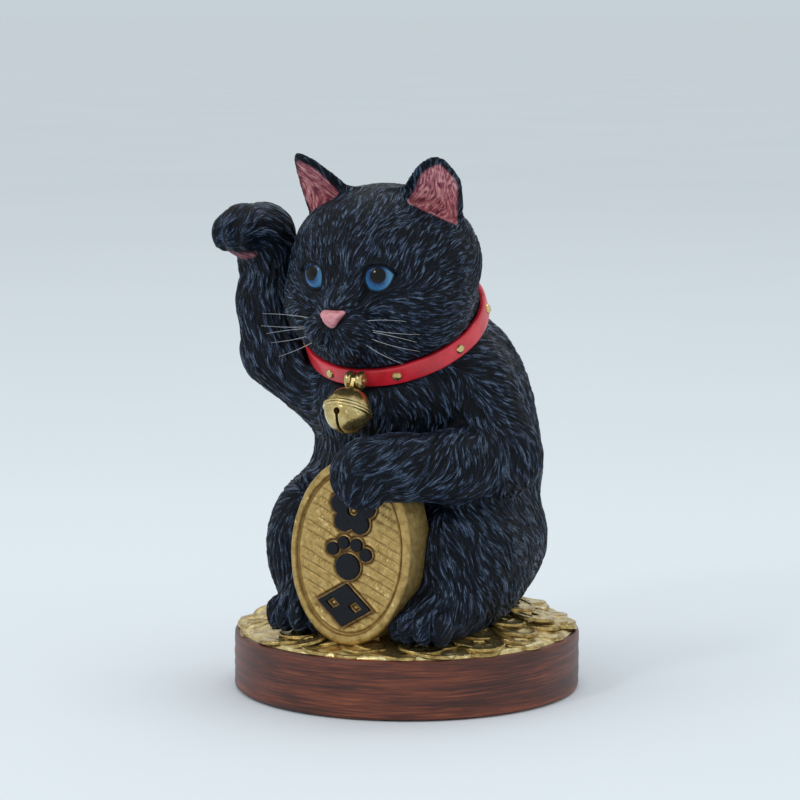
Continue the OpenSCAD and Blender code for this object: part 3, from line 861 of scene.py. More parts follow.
def lid_outline(a):
    """Half width of the eye's opening, in mm on the ball, by direction: sharp at the outer, upper corner."""
    corner = math.radians(12)
    inner = math.radians(232)
    def peak(a0, width, gain):
        d = np.abs((a - a0 + math.pi) % (2 * math.pi) - math.pi)
        return gain * np.exp(-(d / width))
    flat_top = -0.45 * hump(a, math.radians(95), 0.5)
    return 3.6 + peak(corner, 0.34, 0.95) + peak(inner, 0.34, 0.6) + flat_top


def lid_opening(p):
    q = p - EYE
    x, y, z = q @ EYE_SIDE, q @ EYE_UP, q @ EYE_OUT
    r = np.hypot(x, y)
    shell = np.sqrt(r * r + z * z)
    width = lid_outline(np.arctan2(y, x) % (2 * math.pi))
    inside = (r / np.maximum(shell, 1e-6) * EYE_R - width) * (0.85 + 0.15 * shell / EYE_R)
    return smax(inside, -z, 0.2)


EYE_REACH = np.array([9.0, 9.0, 9.0])
OPENING = (lid_opening, EYE - EYE_REACH, EYE + EYE_REACH)


def ear_shapes():
    outer = faceted([(21.8, -26.8, 154.0), (23.4, -25.4, 152.8), (15.4, -25.2, 150.0), (24.7, -19.6, 147.2),
                     (22.9, -15.6, 134), (7.8, -18.8, 141.5), (16, -11.5, 137)], 1.3, 2.0)
    mouth = np.array([(22.4, -27.0, 152.4), (16.8, -26.2, 149.8), (24.4, -21.0, 147.0), (23.2, -18.2, 136.0),
                      (10.6, -21.4, 141.6)])
    ahead = mouth + np.array([0.42, -0.9, 0.1]) * 9
    inner = faceted(list(mouth) + list(ahead) + [(17.3, -15.6, 140.2)], 0.35, 0.9)
    return outer, inner


def head_form():
    f = Form()
    nose = ("from", (0, -40, 110))
    f.add(ball((0, -16, 124), (27.3, 25, 22.3)), 0, nose)
    f.pair(ball((12.5, -21, 113.5), (15, 17, 15)), 4, ("from", (2, -42, 114)))
    f.add(ball((0, -27, 126), (19.5, 14.5, 14.5)), 4, nose)
    f.add(ball((0, -24, 105), (19, 15, 12)), 4, ("from", (0, -40, 112)))
    f.add(ball((0, -37.5, 113.5), (8.5, 9, 8.5)), 4, ("from", (0, -50, 109)))
    f.pair(ball((4.3, -42.4, 107.6), (6.3, 6, 5.2)), 2.0, ("from", (0, -50, 111)))
    f.add(ball((0, -39, 103.2), (6, 6.2, 4.6)), 2.0, ("from", (0, -46, 110)))
    f.pair(ball(EYE, LID_R), 1.6)
    outer, inner = ear_shapes()
    f.pair(outer, 2.2, ("to", (0.25, 0.15, 1)))
    for s in (inner, mirrored(inner)):
        f.cut(s, 0.5)
    # the parting under the nose and the mouth's two curves
    groove = limb((0, -49.2, 108.4), 0.3, (0, -48.2, 105.2), 0.3)
    f.cut(groove, 0.5)
    for a, b in (((0, -48.0, 105.0), (3.2, -46.6, 103.9)), ((3.2, -46.6, 103.9), (6.6, -43.6, 104.3))):
        s = limb(a, 0.3, b, 0.25)
        f.cut(s, 0.7)
        f.cut(mirrored(s), 0.5)
    f.add(CORE, 1.0)
    f.cut(GROOVE, 0.6)
    f.cut(UNDER_SIDE, 0.2)
    for s in (OPENING, mirrored(OPENING)):
        f.cut(s, 0.15)
    return f


# ------------------------------------------------------------------ the carved coat

def follow(starts, ids, axes, seed_pos, seed_nrm, seed_dir, count, pace):
    """Walks from each point along the coat both ways, and yields every stop and its place in the walk."""
    near = ids.copy()
    for _ in range(3):
        for ax in range(3):
            for shift in (1, -1):
                near = np.where(near < 0, np.roll(near, shift, ax), near)

    def owner(p):
        at = [np.clip(np.searchsorted(axes[n], p[:, n]) - 1, 0, near.shape[n] - 1) for n in range(3)]
        return np.maximum(near[tuple(at)], 0)

    for side in (1, -1):
        p = starts.copy()
        for i in range(count):
            o = owner(p)
            p = p + side * pace * seed_dir[o]
            n = seed_nrm[o]
            p = p - n * (((p - seed_pos[o]) * n).sum(1))[:, None]
            yield i, p


def lie(form, p, sway=0.55):
    """The normal at each point, and the way that the coat lies there as its locks sway."""
    nrm = unit(form.slope(p))
    flow = form.flow(p)
    flow = unit(flow - nrm * (flow * nrm).sum(1)[:, None])
    ang = sway * noise(p, 6.5, 3) + 0.5 * sway * noise(p, 2.6, 4)
    return nrm, flow * np.cos(ang)[:, None] + np.cross(nrm, flow) * np.sin(ang)[:, None]


def coat(form, axes, size, length):
    """A form's skin, with the fine and broad height of its carved coat at each vertex, -1 to 1."""
    seeds, coarse, ids = solid_mesh(form, axes, 2)
    verts, quads = split_quads(seeds, coarse)
    verts = form.settle(verts, 1)
    seed_nrm, seed_dir = lie(form, seeds)
    broad = size * 2.6
    fine = noise(verts, size, 11)
    clump = noise(verts, broad, 12)
    count = 7
    for i, p in follow(verts, ids, axes, seeds, seed_nrm, seed_dir, count, length / count / 2):
        w = 0.5 + 0.5 * math.cos(math.pi * (i + 1) / (count + 1))
        fine = fine + w * noise(p, size, 11)
        clump = clump + w * noise(p, broad, 12)
    nrm, flow = lie(form, verts)
    return verts, quads, np.tanh(1.25 * (fine / fine.std())), np.tanh(clump / clump.std()), nrm, flow


def clear_of(cuts, p, width=1.2):
    """0 on the cut faces, 1 once `width` clear of them."""
    out = np.ones(len(p))
    for fn, _, _ in cuts:
        out = np.minimum(out, rise(fn(p), 0.05, width))
    return out


def build_cat():
    form, up, low = body_form()
    pitch = 0.72
    axes = [steps(-50, 48, pitch), steps(-60, 50, pitch), steps(SEAT - 3, 142, pitch)]
    verts, quads, fine, clump, nrm, flow = coat(form, axes, 0.52, 4.6)
    x, y, z = verts.T
    hold = clear_of([GROOVE, KOBAN_CUT, BELOW_SEAT], verts)
    pad = np.clip(1 - ball(*PAW_PAD)[0](verts) / 0.8, 0, 1)
    pad *= np.clip((129.4 - z) / 0.8, 0, 1) * (nrm[:, 2] < 0.2)
    # the feet and the raised toes are smoother than the rest
    toes = 1 - 0.5 * ((z < 26) & (y < -20))
    toes *= 1 - 0.55 * ((x < -28) & (z > 124))
    lift = hold * (1 - 0.7 * pad) * toes * (0.25 * fine + 0.1 * clump)
    verts = verts + nrm * lift[:, None]
    normals = vertex_normals(verts, quads)
    # painted shade: the coat is darker within 1.2 mm of the collar, the koban and the coin bed, where the parts
    # meet
    fur = np.clip(0.5 + 0.42 * fine + 0.07 * clump, 0, 1) * (0.35 + 0.65 * hold)
    mids = verts[quads].mean(1)
    d_up, d_low, d_body = up.at(mids), low.at(mids), torso_form().at(mids)
    raised = (d_up < d_body) & (d_up < d_low)
    resting = (d_low < d_body) & (d_low < d_up)
    trunk = ~raised & ~resting
    back, right = mids[:, 1] > 6, mids[:, 0] < 0
    for name, node, own in (("torso_front_left", "torso", trunk & ~back & ~right),
                            ("torso_front_right", "torso", trunk & ~back & right),
                            ("torso_back_left", "torso", trunk & back & ~right),
                            ("torso_back_right", "torso", trunk & back & right),
                            ("raised_arm_coat", "raised_arm", raised),
                            ("left_arm_coat", "left_arm", resting)):
        cut_out(name, node, verts, quads[own], normals, fur, pad, flow)


def cut_out(name, node, verts, faces, normals, fur, pink, flow):
    used, inv = np.unique(faces, return_inverse=True)
    faces = inv.reshape(faces.shape)
    ob = put_mesh(name, verts[used], faces, MAT["fur"], normals=normals[used],
                  attrs={"fur": fur[used], "pink": pink[used], "flow": flow[used]})
    piece(ob, "figure", "fur", node)


def build_head():
    form = head_form()
    pitch, close = ((0.64, 0.48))
    axes = [uneven(-30, 30, pitch, close, -16, 16), steps(-53, 12, pitch),
            uneven(84, 158, pitch, close, 102, 129)]
    verts, quads, fine, clump, nrm, flow = coat(form, axes, 0.38, 3.2)
    z = verts[:, 2]
    inner = ear_shapes()[1]
    d_in = np.minimum(inner[0](verts), mirrored(inner)[0](verts))
    pink = np.clip(1.2 - d_in / 0.35, 0, 1) * (z > 134)
    nose_zone = rise(np.linalg.norm((verts - [0, -48, 111]) / [4.6, 4, 3.4], axis=1), 0.8, 0.4)
    eye_zone = np.ones(len(verts))
    for side in (1, -1):
        reach = np.linalg.norm(verts - EYE * [side, 1, 1], axis=1)
        eye_zone = np.minimum(eye_zone, rise(reach - LID_R, 0.05, 2.0))
    hold = clear_of([GROOVE, UNDER_SIDE], verts) * (0.25 + 0.75 * eye_zone) * nose_zone
    lift = hold * (0.19 * fine + 0.06 * clump) * (1 - 0.6 * rise(z, 138, 3))
    verts = verts + nrm * lift[:, None]
    normals = vertex_normals(verts, quads)
    # painted shade: the coat is darker by the collar, round the eyes and round the nose
    fur = np.clip(0.5 + 0.42 * fine + 0.06 * clump, 0, 1) * (0.3 + 0.7 * hold)
    mids = verts[quads].mean(1)
    back, left = mids[:, 1] > -22, mids[:, 0] > 0
    for name, own in (("head_face", ~back), ("head_back_left", back & left), ("head_back_right", back & ~left)):
        cut_out(name, "head", verts, quads[own], normals, fur, pink, flow)


build_cat()
build_head()


# ------------------------------------------------------------------ eyes, lids, nose, whiskers

def eye_piece(name, node, side):
    """A glossy ball with a slight cornea, its axis along the gaze."""
    turn = side * EYE_TURN + math.radians(1.5)
    lift = math.radians(9)
    gaze = np.array([math.sin(turn) * math.cos(lift), -math.cos(turn) * math.cos(lift), math.sin(lift)])
    right = unit(np.cross(gaze, [0, 0, 1]) * -1)
    rows = []
    for i in range(41):
        a = math.pi * i / 40
        r = EYE_R * math.sin(a)
        z = EYE_R * math.cos(a)
        if z > 0:
            z -= 0.12 * (1 - min(1, (r / 2.6) ** 2)) - 0.1
            z = min(z, EYE_R)
        rows.append((max(r, 0.004), z))
    v, f = lathe(rows, 64)
    ob = put_mesh(name, v, f[:, ::-1], MAT["eye"], local=False)
    m = np.eye(4)
    m[:3, 0], m[:3, 1], m[:3, 2] = right, np.cross(gaze, right), gaze
    m[:3, 3] = (EYE * [side, 1, 1] + CAT) * MM
    ob.matrix_world = Matrix(m.tolist())
    piece(ob, "figure", "eye", node)


eye_piece("left_eye_ball", "left_eye", 1)
eye_piece("right_eye_ball", "right_eye", -1)


def lid_rims():
    parts = []
    for side in (1, -1):
        a = np.linspace(0, 2 * math.pi, 97)[:-1]
        w = lid_outline(a) + 0.12
        z = np.sqrt(np.maximum((EYE_R + 0.28) ** 2 - w * w, 0))
        across, over = w * np.cos(a), w * np.sin(a)
        ring = EYE + EYE_SIDE * across[:, None] + EYE_UP * over[:, None] + EYE_OUT * z[:, None]
        ring = ring * [side, 1, 1]
        ring = np.concatenate([ring, ring[:1]])
        parts.append(tube(ring, 0.3, 8))
    v, f = join_up(parts)
    piece(put_mesh("eyelid_rims", v, f, MAT["emblem_black"]), "figure", "fur")


lid_rims()


def nose_piece():
    f = Form()
    f.add(ball((0, -46.4, 111.3), (4.4, 3.3, 3.2)))
    for n, at in (((0.83, 0, -0.56), (2.55, -46, 110.8)), ((-0.83, 0, -0.56), (-2.55, -46, 110.8)),
                  ((0, -0.25, 1), (0, -46.5, 113.1))):
        nm = unit(n)
        p0 = np.array(at, float)
        f.cut(anywhere(lambda p, a=p0, b=nm: (a - p) @ b), 0.9)
    for s in (1, -1):
        f.cut(limb((s * 1.5, -50.4, 110.0), 0.35, (s * 3.0, -48.6, 110.9), 0.5), 0.4)
    step = 0.2
    axes = [steps(-5, 5, step), steps(-51.5, -43, step), steps(106.5, 115, step)]
    v, q, _ = solid_mesh(f, axes)
    piece(put_mesh("nose_leather", v, q, MAT["nose"]), "figure", "fur")


nose_piece()


def whiskers():
    fan = [((4.4, -42.5, 109.6), (22.5, -46.5, 111.2), 0.6), ((4.8, -42.5, 108.4), (25, -43, 107.4), -0.4),
           ((4.8, -42.5, 107), (23.5, -40.5, 102.5), -0.6), ((4.4, -42.5, 105.8), (19.5, -42.5, 99), -0.5),
           ((4.6, -42.5, 107.8), (23.6, -42.4, 105.2), 0.4)]
    for side, node in ((1, "whiskers_left"), (-1, "whiskers_right")):
        parts = []
        for a, b, bend in fan:
            a, b = np.array(a), np.array(b)
            t = np.linspace(0, 1, 15)[:, None]
            p = a + (b - a) * t + np.array([0, -0.6, bend]) * np.sin(math.pi * t)
            parts.append(tube(p * [side, 1, 1], 0.105 * (1 - 0.66 * t[:, 0]), 7))
        v, f = join_up(parts)
        piece(put_mesh(node + "_hair", v, f, MAT["whisker"]), "figure", "whisker", node)


whiskers()


# ------------------------------------------------------------------ collar and bell

def collar_band():
    r0, r1, h = COLLAR_IN, COLLAR_R, COLLAR_W / 2
    bevel, bend = 0.2, 0.55
    prof = [(r0, -h + bevel), (r0 + bevel, -h), (r1 - bend, -h)] + bend_out(r1, -h, bend, quarter(6))
    prof += [(r1 + 0.05 * math.cos(z / h * math.pi / 2), z) for z in np.linspace(-h + 0.8, h - 0.8, 9)]
    prof += bend_in(r1, h, bend, quarter(6, 0))
    prof += [(r0 + bevel, h), (r0, h - bevel), (r0, -h + bevel)]

    def shape(p):
        n = noise(p, 4.0, 21) * 0.07 + noise(p, 1.3, 22) * 0.02
        out = p.copy()
        out[:, 2] += n
        return out
    v, f = lathe(prof, 300, COLLAR_M, COLLAR_C, shape)
    piece(put_mesh("collar_band", v, f[:, ::-1], MAT["collar_red"]), "figure", "collar_red", "collar")


collar_band()
BAIL_ANGLE = math.atan2(-COLLAR_R, BELL_PIN[0])


def studs():
    parts = []
    dome = [(1.42, -0.12), (1.44, 0.12)] + [(1.36 * math.cos(a), 0.2 + 0.8 * math.sin(a))
                                           for a in np.linspace(0.05, math.pi / 2 - 0.02, 9)]
    for side in (-1, 1):
        for i in range(4):
            ang = BAIL_ANGLE + side * math.radians(23 + 43 * i)
            out = np.array([math.cos(ang), math.sin(ang), 0])
            m = np.stack([np.cross([0, 0, 1], out), [0, 0, 1], out], 1)
            at = COLLAR_M @ (out * COLLAR_R) + COLLAR_C
            squash = 1 + 0.06 * rng.standard_normal()
            v, f = lathe([(r * squash, z) for r, z in dome], 28, COLLAR_M @ m, at)
            parts.append((v, f[:, ::-1]))
    v, f = join_up(parts)
    piece(put_mesh("collar_stud_domes", v, f, MAT["brass"]), "figure", "brass", "collar_studs")


studs()

# the bell's own frame: Z along its axis towards the pin
BELL_M = rot_x(-BELL_TILT)


def bell_part(name, form, lo, hi, node):
    v, q, _ = solid_mesh(form, [steps(l, h, 0.17) for l, h in zip(lo, hi)])
    v = v + unit(form.slope(v)) * (0.05 * noise(v, 2.2, 31) + 0.02 * noise(v, 0.8, 32))[:, None]
    piece(put_mesh(name, v @ BELL_M.T + BELL_C, q, MAT["brass"]), "bell", "brass", node)


def around(p):
    return np.hypot(p[:, 0], p[:, 1])


def in_bell(fn):
    """A shape inside the bell's own box."""
    reach = np.array([9.0, 9.0, 12.0])
    return fn, -reach, reach


def bell_shell(s):
    """Half of the bell, with its rolled seam: the upper one for s = 1, the lower one for s = -1."""
    f = Form()
    f.add(in_bell(lambda p: np.abs(np.linalg.norm(p, axis=1) - BELL_R + 0.4) - 0.4))
    f.add(in_bell(lambda p: np.hypot(around(p) - BELL_R - 0.05, p[:, 2] - s * 0.42) - 0.42), 0.15)
    f.cut(anywhere(lambda p: s * p[:, 2] - 0.02))
    return f


def crown_form():
    """The upper half with its loop, an eye on a short neck."""
    f = bell_shell(1)

    def loop(p):
        return np.hypot(p[:, 1], p[:, 2] - BELL_DROP)

    def neck(p):
        return np.maximum(np.abs(p[:, 1]) - 1.5, np.abs(p[:, 2] - 7.6) - 1.6)
    f.add(in_bell(lambda p: smax(loop(p) - 1.5, np.abs(p[:, 0]) - 0.6, 0.15)))
    f.add(in_bell(lambda p: smax(neck(p), np.abs(p[:, 0]) - 0.6, 0.15)), 0.3)
    f.cut(in_bell(lambda p: loop(p) - 0.66), 0.1)
    return f


def bowl_form():
    """The lower half with its slot, which ends in a round hole each side."""
    f = bell_shell(-1)
    hole = math.radians(66)

    def slot(p):
        a = np.arctan2(np.abs(p[:, 1]), -p[:, 2])
        return np.maximum(np.abs(p[:, 0]) - 0.42, (a - hole) * BELL_R)
    f.cut(in_bell(slot), 0.15)
    for s in (1, -1):
        d = np.array([0, s * math.sin(hole), -math.cos(hole)])
        f.cut(in_bell(lambda p, d=d: np.where(
            p @ d > 0, np.linalg.norm(p - (p @ d)[:, None] * d, axis=1) - 0.95, 3.0)), 0.15)
    return f


bell_part("bell_crown_shell", crown_form(), (-8, -8, -1), (8, 8, 11.5), "bell_crown")
bell_part("bell_bowl_shell", bowl_form(), (-8, -8, -8), (8, 8, 1), "bell_bowl")


def bail():
    """Two lobes with the pin's hole, on a foot that follows the collar."""
    f = Form()
    pin = BELL_PIN
    gap, lobe = 0.75, 1.0

    def off_pin(p):
        return np.hypot(p[:, 1] - pin[1], p[:, 2] - pin[2])

    def beside(p, middle=0.0):
        return np.abs(p[:, 0] - pin[0] - middle)

    def near_pin(fn):
        return fn, pin - 6, pin + 6
    for s in (1, -1):
        f.add(near_pin(lambda p, c=s * (gap + lobe): smax(off_pin(p) - 2.5, beside(p, c) - lobe, 1.1)))
    out = COLLAR_M @ np.array([math.cos(BAIL_ANGLE), math.sin(BAIL_ANGLE), 0])
    at = [COLLAR_R * math.cos(BAIL_ANGLE), COLLAR_R * math.sin(BAIL_ANGLE), 0.8]
    root = COLLAR_C + COLLAR_M @ np.array(at)
    f.add(limb(root + out * 0.1, 1.1, root + out * 1.2, 1.1), 0.2)
    foot = root + out * 0.6 + COLLAR_M[:, 2] * 0.6
    half = np.array([1.9, 0, 0])
    f.add(limb(foot - half, 0.6, foot + half, 0.6), 0.3)
    f.cut(near_pin(lambda p: smax(off_pin(p) - 1.9, beside(p) - gap, 0)))
    f.cut(near_pin(lambda p: off_pin(p) - 0.62))
    f.cut(anywhere(lambda p: around(collar_local(p)) - COLLAR_R - 0.05))
    v, q, _ = solid_mesh(f, [steps(c - 4.5, c + 4.5, 0.15) for c in pin])
    piece(put_mesh("bell_bail_lobes", v, q, MAT["brass"]), "figure", "brass", "bell_bail")


bail()


# ------------------------------------------------------------------ koban

FACE, RIM, BACK = 1, 2, 3


def koban_rows(hw, hh):
    """Rings over the face, round the rim and over the back: half width, half height, depth and zone."""
    front, rear = 1.4, 0.7
    rows = [(s * (hw - front), s * (hh - front), 0.0, FACE) for s in np.linspace(0.004, 1, 118)]
    rows += [(hw - front + front * math.sin(t), hh - front + front * math.sin(t),
              front - front * math.cos(t), RIM) for t in quarter(7)]
    rows += [(hw, hh, y, RIM) for y in np.linspace(front, KOBAN_T - rear, 40)[1:]]
    rows += [(hw - rear + rear * math.cos(t), hh - rear + rear * math.cos(t),
              KOBAN_T - rear + rear * math.sin(t), RIM) for t in quarter(4)]
    return rows + [(s * (hw - rear), s * (hh - rear), KOBAN_T, BACK) for s in (0.8, 0.5, 0.2, 0.004)]


def koban_plate():
    spokes = 480
    a = np.arange(spokes) * 2 * math.pi / spokes
    hw, hh = KOBAN_W / 2, KOBAN_H / 2
    rows = koban_rows(hw, hh)
    p = np.concatenate([np.stack([rx * np.cos(a), np.full(spokes, y), rz * np.sin(a)], 1)
                        for rx, rz, y, _ in rows])
    zone = np.repeat([row[3] for row in rows], spokes)
    face, rim = zone == FACE, zone == RIM
    u, w, none = p[:, 0], p[:, 2], np.zeros(len(p))
    inset = (1 - np.sqrt((u / hw) ** 2 + (w / hh) ** 2)) * hw
    sink = rise(inset, 1.9, 0.3) * 0.95
    moat = hump(inset, 2.35, 0.24) * 0.4
    lip = -0.2 * hump(inset, 2.9, 0.25)
    # slanting chased lines with rows of ticks between them, broken here and there
    pitch = 2.75
    slant = w + 0.34 * u + 27
    row = np.floor(slant / pitch)
    v = slant - row * pitch - 1.37 + 0.14 * noise(np.stack([u * 0.3, none, row * 7], 1), 1.0, 41)
    field = rise(inset, 3.2, 0.3)
    line = 0.34 * hump(v, 0, 0.19)
    tick = (np.cos((u + row * 1.7) * 2 * math.pi / 0.95) > 0.1) * hump(v, -0.45, 0.3) * 0.2
    tick *= noise(np.stack([u * 0.12, row * 3, none], 1), 1.0, 42) > -0.15
    gaps = np.clip(4 * (noise(np.stack([u * 0.16, row * 5, none], 1), 1.0, 47) + 0.75), 0, 1)
    ed = emblem_distance(u, w)
    dig = sink + moat + lip + field * (line + tick) * gaps * rise(ed, 1.3, 0.3)
    dig += np.where(inset > 3.1, 0.22 * hump(ed, 0.4, 0.3) - 0.26 * hump(ed, 1.1, 0.26), 0)
    # painted shade mask: the moat, the engraved lines and the rings round the ornaments, darkened where they
    # are recessed
    recess_shade = hump(ed, 0.45, 0.42) + 0.6 * hump(inset, 2.35, 0.32) + 0.75 * field * hump(v, 0, 0.26) * gaps
    recess_shade = np.clip(np.where(face & (inset > 2.0), recess_shade, 0), 0, 1)
    p[:, 1] += np.where(face, dig, 0)
    grain = 0.05 * noise(p, 0.9, 43) + 0.04 * noise(p, 2.4, 44)
    p[:, 1] += np.where(face, grain, 0)
    brush = 0.07 * noise(p * [1, 0.35, 1], 0.8, 45) + 0.06 * noise(p, 3.0, 46)
    p[:, 0] += np.where(rim, brush * u / hw, 0)
    p[:, 2] += np.where(rim, brush * w / hh, 0)
    world = p @ KOBAN_M.T + KOBAN_FACE
    world[:, 2] = np.maximum(world[:, 2], SEAT - 1.2)
    ob = put_mesh("koban_plate", world, ring_faces(len(rows), spokes), MAT["koban_gold"], local=False,
                  attrs={"recess_shade": recess_shade})
    piece(ob, "figure", "koban_gold", "koban")


def spots(u, w, radius, angles, size, drop=0.0):
    """Distance to the nearest of some round spots on an arc."""
    at = [(radius * math.cos(a), radius * math.sin(a) - drop) for a in map(math.radians, angles)]
    return np.min([np.hypot(u - x, w - z) - size for x, z in at], axis=0)


def blossom(u, w):
    w = w - 12
    d = np.minimum(spots(u, w, 4.2, range(90, 450, 72), 2.9), np.hypot(u, w) - 3)
    return np.maximum(d, 1.5 - np.hypot(u, w))


def paw_print(u, w):
    w = w + 1.6
    return np.minimum(np.hypot(u, w + 2.4) - 3.7, spots(u, w, 6.6, (38, 72, 108, 142), 1.85, 2.2))


def rhomb(u, w, a, b):
    return (np.abs(u) * a + np.abs(w) * b - a * b) / math.hypot(a, b)


def lozenge(u, w):
    w = w + 15
    d = rhomb(u, w, 6.2, 8.4)
    for x in (-3.5, 3.5):
        d = np.maximum(d, -rhomb(u - x, w, 1.6, 2.2))
    return d


def emblem_distance(u, w):
    return np.minimum(np.minimum(blossom(u, w), paw_print(u, w)), lozenge(u, w))


def emblems():
    parts = []
    for fn, z0, z1 in ((blossom, 3.5, 20.5), (paw_print, -8.8, 5.5), (lozenge, -22.5, -7.5)):
        f = Form()
        lo, hi = np.array([-10.0, -2.0, z0]), np.array([10.0, 3.0, z1])
        f.add(((lambda p, fn=fn: smax(fn(p[:, 0], p[:, 2]), np.abs(p[:, 1] - 0.62) - 0.72, 0.35)), lo, hi))
        step = 0.24
        v, q, _ = solid_mesh(f, [steps(-10, 10, step), steps(-1.2, 2.4, step), steps(z0 - 1, z1 + 1, step)])
        v[:, 1] += 0.04 * noise(v, 1.2, 51)
        parts.append((v @ KOBAN_M.T + KOBAN_FACE, q))
    v, f = join_up(parts)
    ob = put_mesh("koban_ornaments", v, f, MAT["emblem_black"], local=False)
    piece(ob, "figure", "emblem_black", "koban_emblems")


koban_plate()
emblems()


# ------------------------------------------------------------------ coins, base, felt

def coin_template(sides=44):
    """Upper side of one cash coin: a square hole with a raised frame, a field and a raised rim."""
    a = np.arange(sides) * 2 * math.pi / sides
    sq = 1 / np.maximum(np.abs(np.cos(a)), np.abs(np.sin(a)))
    hole, r = 1.6, 7.0
    rows = []
    stops = [(0.0, -0.75, 0), (0.0, -0.05, 0), (0.06, 0.12, 0), (0.16, 0.14, 0.05), (0.21, 0.0, 0.2),
             (0.3, -0.12, 0.5), (0.55, -0.14, 0.9), (0.72, -0.1, 1), (0.775, 0.1, 1), (0.83, 0.16, 1),
             (0.93, 0.15, 1), (0.98, 0.02, 1), (1.0, -0.2, 1), (1.0, -0.75, 1)]
    for t, z, round_ in stops:
        s = hole + (r - hole) * t
        rad = s * (sq * (1 - round_) + round_)
        rad = np.minimum(rad, r)
        rows.append(np.stack([rad * np.cos(a), rad * np.sin(a), np.full(sides, z)], 1))
    v = np.concatenate(rows)
    return v, ring_faces(len(rows), sides)


def coins():
    tv, tf = coin_template()
    vs, fs = [], []
    n = 0
    rings = [(42.4, 22, 18.3, 0.10), (40.2, 16, 19.2, 0.17), (36.2, 16, 20.1, 0.22), (31.5, 14, 21.0, 0.24),
             (26.5, 9, 21.4, 0.2)]

    def pile(x, y):
        """Extra height heaped up beside and behind the cat."""
        r = np.hypot(x, y)
        return 2.6 * rise(y, -14, 26) * hump(r, 32, 6.5)
    for ring, (radius, count, z, tip) in enumerate(rings):
        for i in range(count):
            ang = 2 * math.pi * (i + 0.37 * ring + 0.25 * rng.uniform(-1, 1)) / count
            rad = radius + (0.25 if ring == 0 else 1.0) * rng.uniform(-1, 1)
            size = rng.uniform(0.92, 1.03)
            v = tv * [size, size, 1]
            own = v + 30.0 * (i + 40 * ring)
            v[:, 2] += 0.04 * noise(own, 1.1, 61) + 0.06 * noise(own, 2.6, 62)
            spin = rot_z(rng.uniform(0, math.pi))
            lean = rot_x(rng.normal(0, 0.10)) @ rot_y(tip * rng.uniform(0.4, 1.3) + rng.normal(0, 0.04))
            m = rot_z(ang) @ lean @ spin
            at = np.array([rad * math.cos(ang), rad * math.sin(ang), z + rng.uniform(-0.25, 0.35)])
            at[2] += pile(at[0], at[1])
            v = v @ m.T + at
            v[:, 2] = np.maximum(v[:, 2], WOOD_TOP + 0.05)
            vs.append(v)
            fs.append(tf + n)
            n += len(v)
    # the cast filler between them
    prof = [(0.05, 20.0)] + [(r, 20.0 - 0.075 * max(0, r - 26)) for r in np.linspace(2, 46.5, 70)] + [
        (47.6, 18.0), (48.1, 17.5), (48.2, WOOD_TOP)]

    def rough(p):
        out = p.copy()
        rise = 0.35 * noise(p, 2.0, 63) + 0.3 * noise(p, 4.5, 64) - 0.2 + pile(p[:, 0], p[:, 1])
        out[:, 2] += np.where(p[:, 2] > WOOD_TOP + 0.3, rise, 0)
        return out
    v, f = lathe(prof, 260, shape=rough)
    vs.append(v)
    fs.append(f + n)
    ob = put_mesh("coins", np.concatenate(vs), np.concatenate(fs), MAT["coin_gold"], local=False)
    piece(ob, "figure", "coin_gold", "coin_bed")


coins()


def base():
    edge, foot = 1.2, WOOD_LO[2]
    prof = [(0.05, foot + 0.4), (BASE_R - 5, foot + 0.4), (BASE_R - 4, foot + 0.1), (BASE_R - edge, foot)]
    prof += bend_out(BASE_R, foot, edge, quarter(5))
    prof += [(BASE_R, z) for z in np.linspace(foot + edge, WOOD_TOP - edge, 52)[1:]]
    prof += bend_in(BASE_R, WOOD_TOP, edge, quarter(7))
    prof += [(BASE_R - 2.5, WOOD_TOP), (BASE_R - 5, WOOD_TOP), (0.05, WOOD_TOP)]

    def brushed(p):
        r = around(p)
        q = np.stack([p[:, 0] * 0.05, p[:, 1] * 0.05, p[:, 2] * 1.3], 1)
        dent = 0.1 * noise(q, 1.0, 71) + 0.06 * noise(q * [2, 2, 1.9], 1.0, 72)
        wave = 0.08 * noise(p, 9.0, 73)
        s = 1 + np.where(r > BASE_R - 2, (dent + wave - 0.12) / BASE_R, 0)
        return np.stack([p[:, 0] * s, p[:, 1] * s, p[:, 2]], 1)
    v, f = lathe(prof, 360, shape=brushed)
    piece(put_mesh("base_disc", v, f, MAT["wood"], local=False), "figure", "wood", "wood_base")


base()


def felt():
    lo, hi = mm_box("felt_pad")
    r = (hi[0] - lo[0]) / 2
    prof = [(0.05, lo[2])] + [(x, lo[2]) for x in np.linspace(4, r - 0.3, 24)]
    prof += [(r, lo[2] + 0.25), (r, hi[2] - 0.2)]

    def fuzz(p):
        out = p.copy()
        out[:, 2] += 0.04 * (noise(p, 0.8, 81) + 1) * (p[:, 2] < lo[2] + 0.1)
        out[:, :2] *= (1 + 0.0015 * noise(p, 0.9, 82))[:, None]
        return out
    v, f = lathe(prof, 180, shape=fuzz)
    piece(put_mesh("felt_disc", v, f, MAT["felt"], local=False), "figure", "felt", "felt_pad")


felt()

for name, mat in (("base_screws", "steel"), ("neck_dowel", "dowel"), ("raised_arm_dowel", "dowel"),
                  ("left_arm_dowel", "dowel"), ("bell_pin", "brass"), ("bell_pellet", "steel"),
                  ("koban_dowel", "steel")):
    ob = frame["nodes"][name]
    ob.data.materials.clear()
    ob.data.materials.append(MAT[mat])


# ------------------------------------------------------------------ stage, lights, camera

def stage():
    m = Look("floor")
    n = m.noise(0.004, 2)
    m.set(color=m.ramp(n, [(0.3, lin(233, 239, 246)), (0.7, lin(235, 241, 248))]), rough=0.9, spec=0.0)
    v, f = lathe([(0.05, 0.0), (200, 0.0), (1000, 0.0), (6000, 0.0), (30000, 0.0)], 64)
    ob = put_mesh("floor", v, f[:, ::-1], m.mat, local=False)


stage()


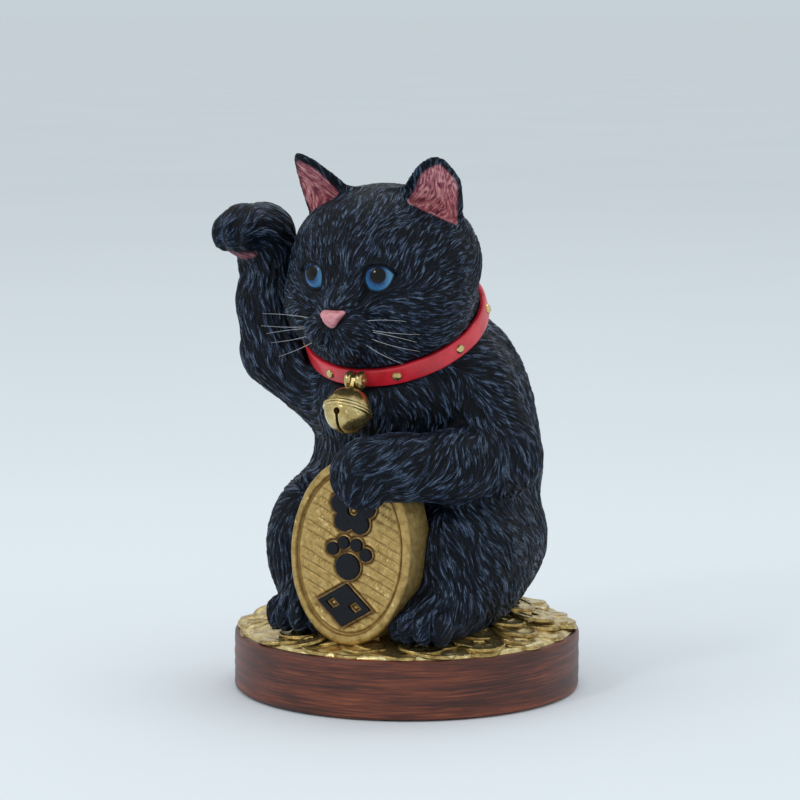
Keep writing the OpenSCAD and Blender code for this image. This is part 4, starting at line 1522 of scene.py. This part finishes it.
def lamp(name, size, power, place, color=(1, 1, 1)):
    """A rectangular lamp that faces the cat's chest."""
    data = bpy.data.lights.new(name, "AREA")
    data.shape = "RECTANGLE"
    data.size, data.size_y = size
    data.energy = power
    data.color = color
    ob = bpy.data.objects.new(name, data)
    bpy.context.scene.collection.objects.link(ob)
    ob.location = place
    ob.rotation_euler = (Vector((0, 0, 0.08)) - Vector(place)).to_track_quat("-Z", "Y").to_euler()
lamp("catch", (0.18, 0.18), 2.0, (-0.25, -1.1, 0.78))
lamp("top", (0.3, 0.3), 0.8, (0.05, 0.05, 0.8))
lamp("key", (0.7, 0.6), 1.8, (-0.75, -0.95, 1.15), color=(1.0, 0.99, 0.97))
lamp("fill", (0.8, 1.0), 0.8, (1.3, -0.35, 0.75), color=(0.95, 0.98, 1.0))
lamp("back", (1.0, 0.6), 1.0, (-0.3, 1.2, 1.2), color=(0.95, 0.98, 1.0))

# the camera sees a plain grey, and the cat is lit by a slightly brighter one
world = bpy.data.worlds.new("studio")
bpy.context.scene.world = world
world.use_nodes = True
tree = world.node_tree
bg = tree.nodes["Background"]
bg.inputs[0].default_value = (0.68, 0.72, 0.72, 1)
bg.inputs[1].default_value = 1.0
seen = tree.nodes.new("ShaderNodeBackground")
seen.inputs[0].default_value = lin(198, 208, 215)
path = tree.nodes.new("ShaderNodeLightPath")
blend = tree.nodes.new("ShaderNodeMixShader")
tree.links.new(path.outputs["Is Camera Ray"], blend.inputs[0])
tree.links.new(bg.outputs[0], blend.inputs[1])
tree.links.new(seen.outputs[0], blend.inputs[2])
tree.links.new(blend.outputs[0], tree.nodes["World Output"].inputs[0])

# turn, height, lens, shift and distance as fitted to the photograph
AZ, EL = math.radians(28), math.radians(7.4)
DISTANCE = 0.9
cam = bpy.data.cameras.new("camera")
cam_ob = bpy.data.objects.new("camera", cam)
bpy.context.scene.collection.objects.link(cam_ob)
bpy.context.scene.camera = cam_ob
cam.lens = 140.8
cam.sensor_width = 36
cam.shift_x, cam.shift_y = -0.0084, 0.0046
cam.clip_start, cam.clip_end = 0.01, 100
target = Vector((0, 0, 0.082))
away = Vector((math.sin(AZ) * math.cos(EL), -math.cos(AZ) * math.cos(EL), math.sin(EL)))
cam_ob.location = target + away * DISTANCE
cam_ob.rotation_euler = (-away).to_track_quat("-Z", "Y").to_euler()

bpy.context.scene.view_settings.view_transform = "Standard"
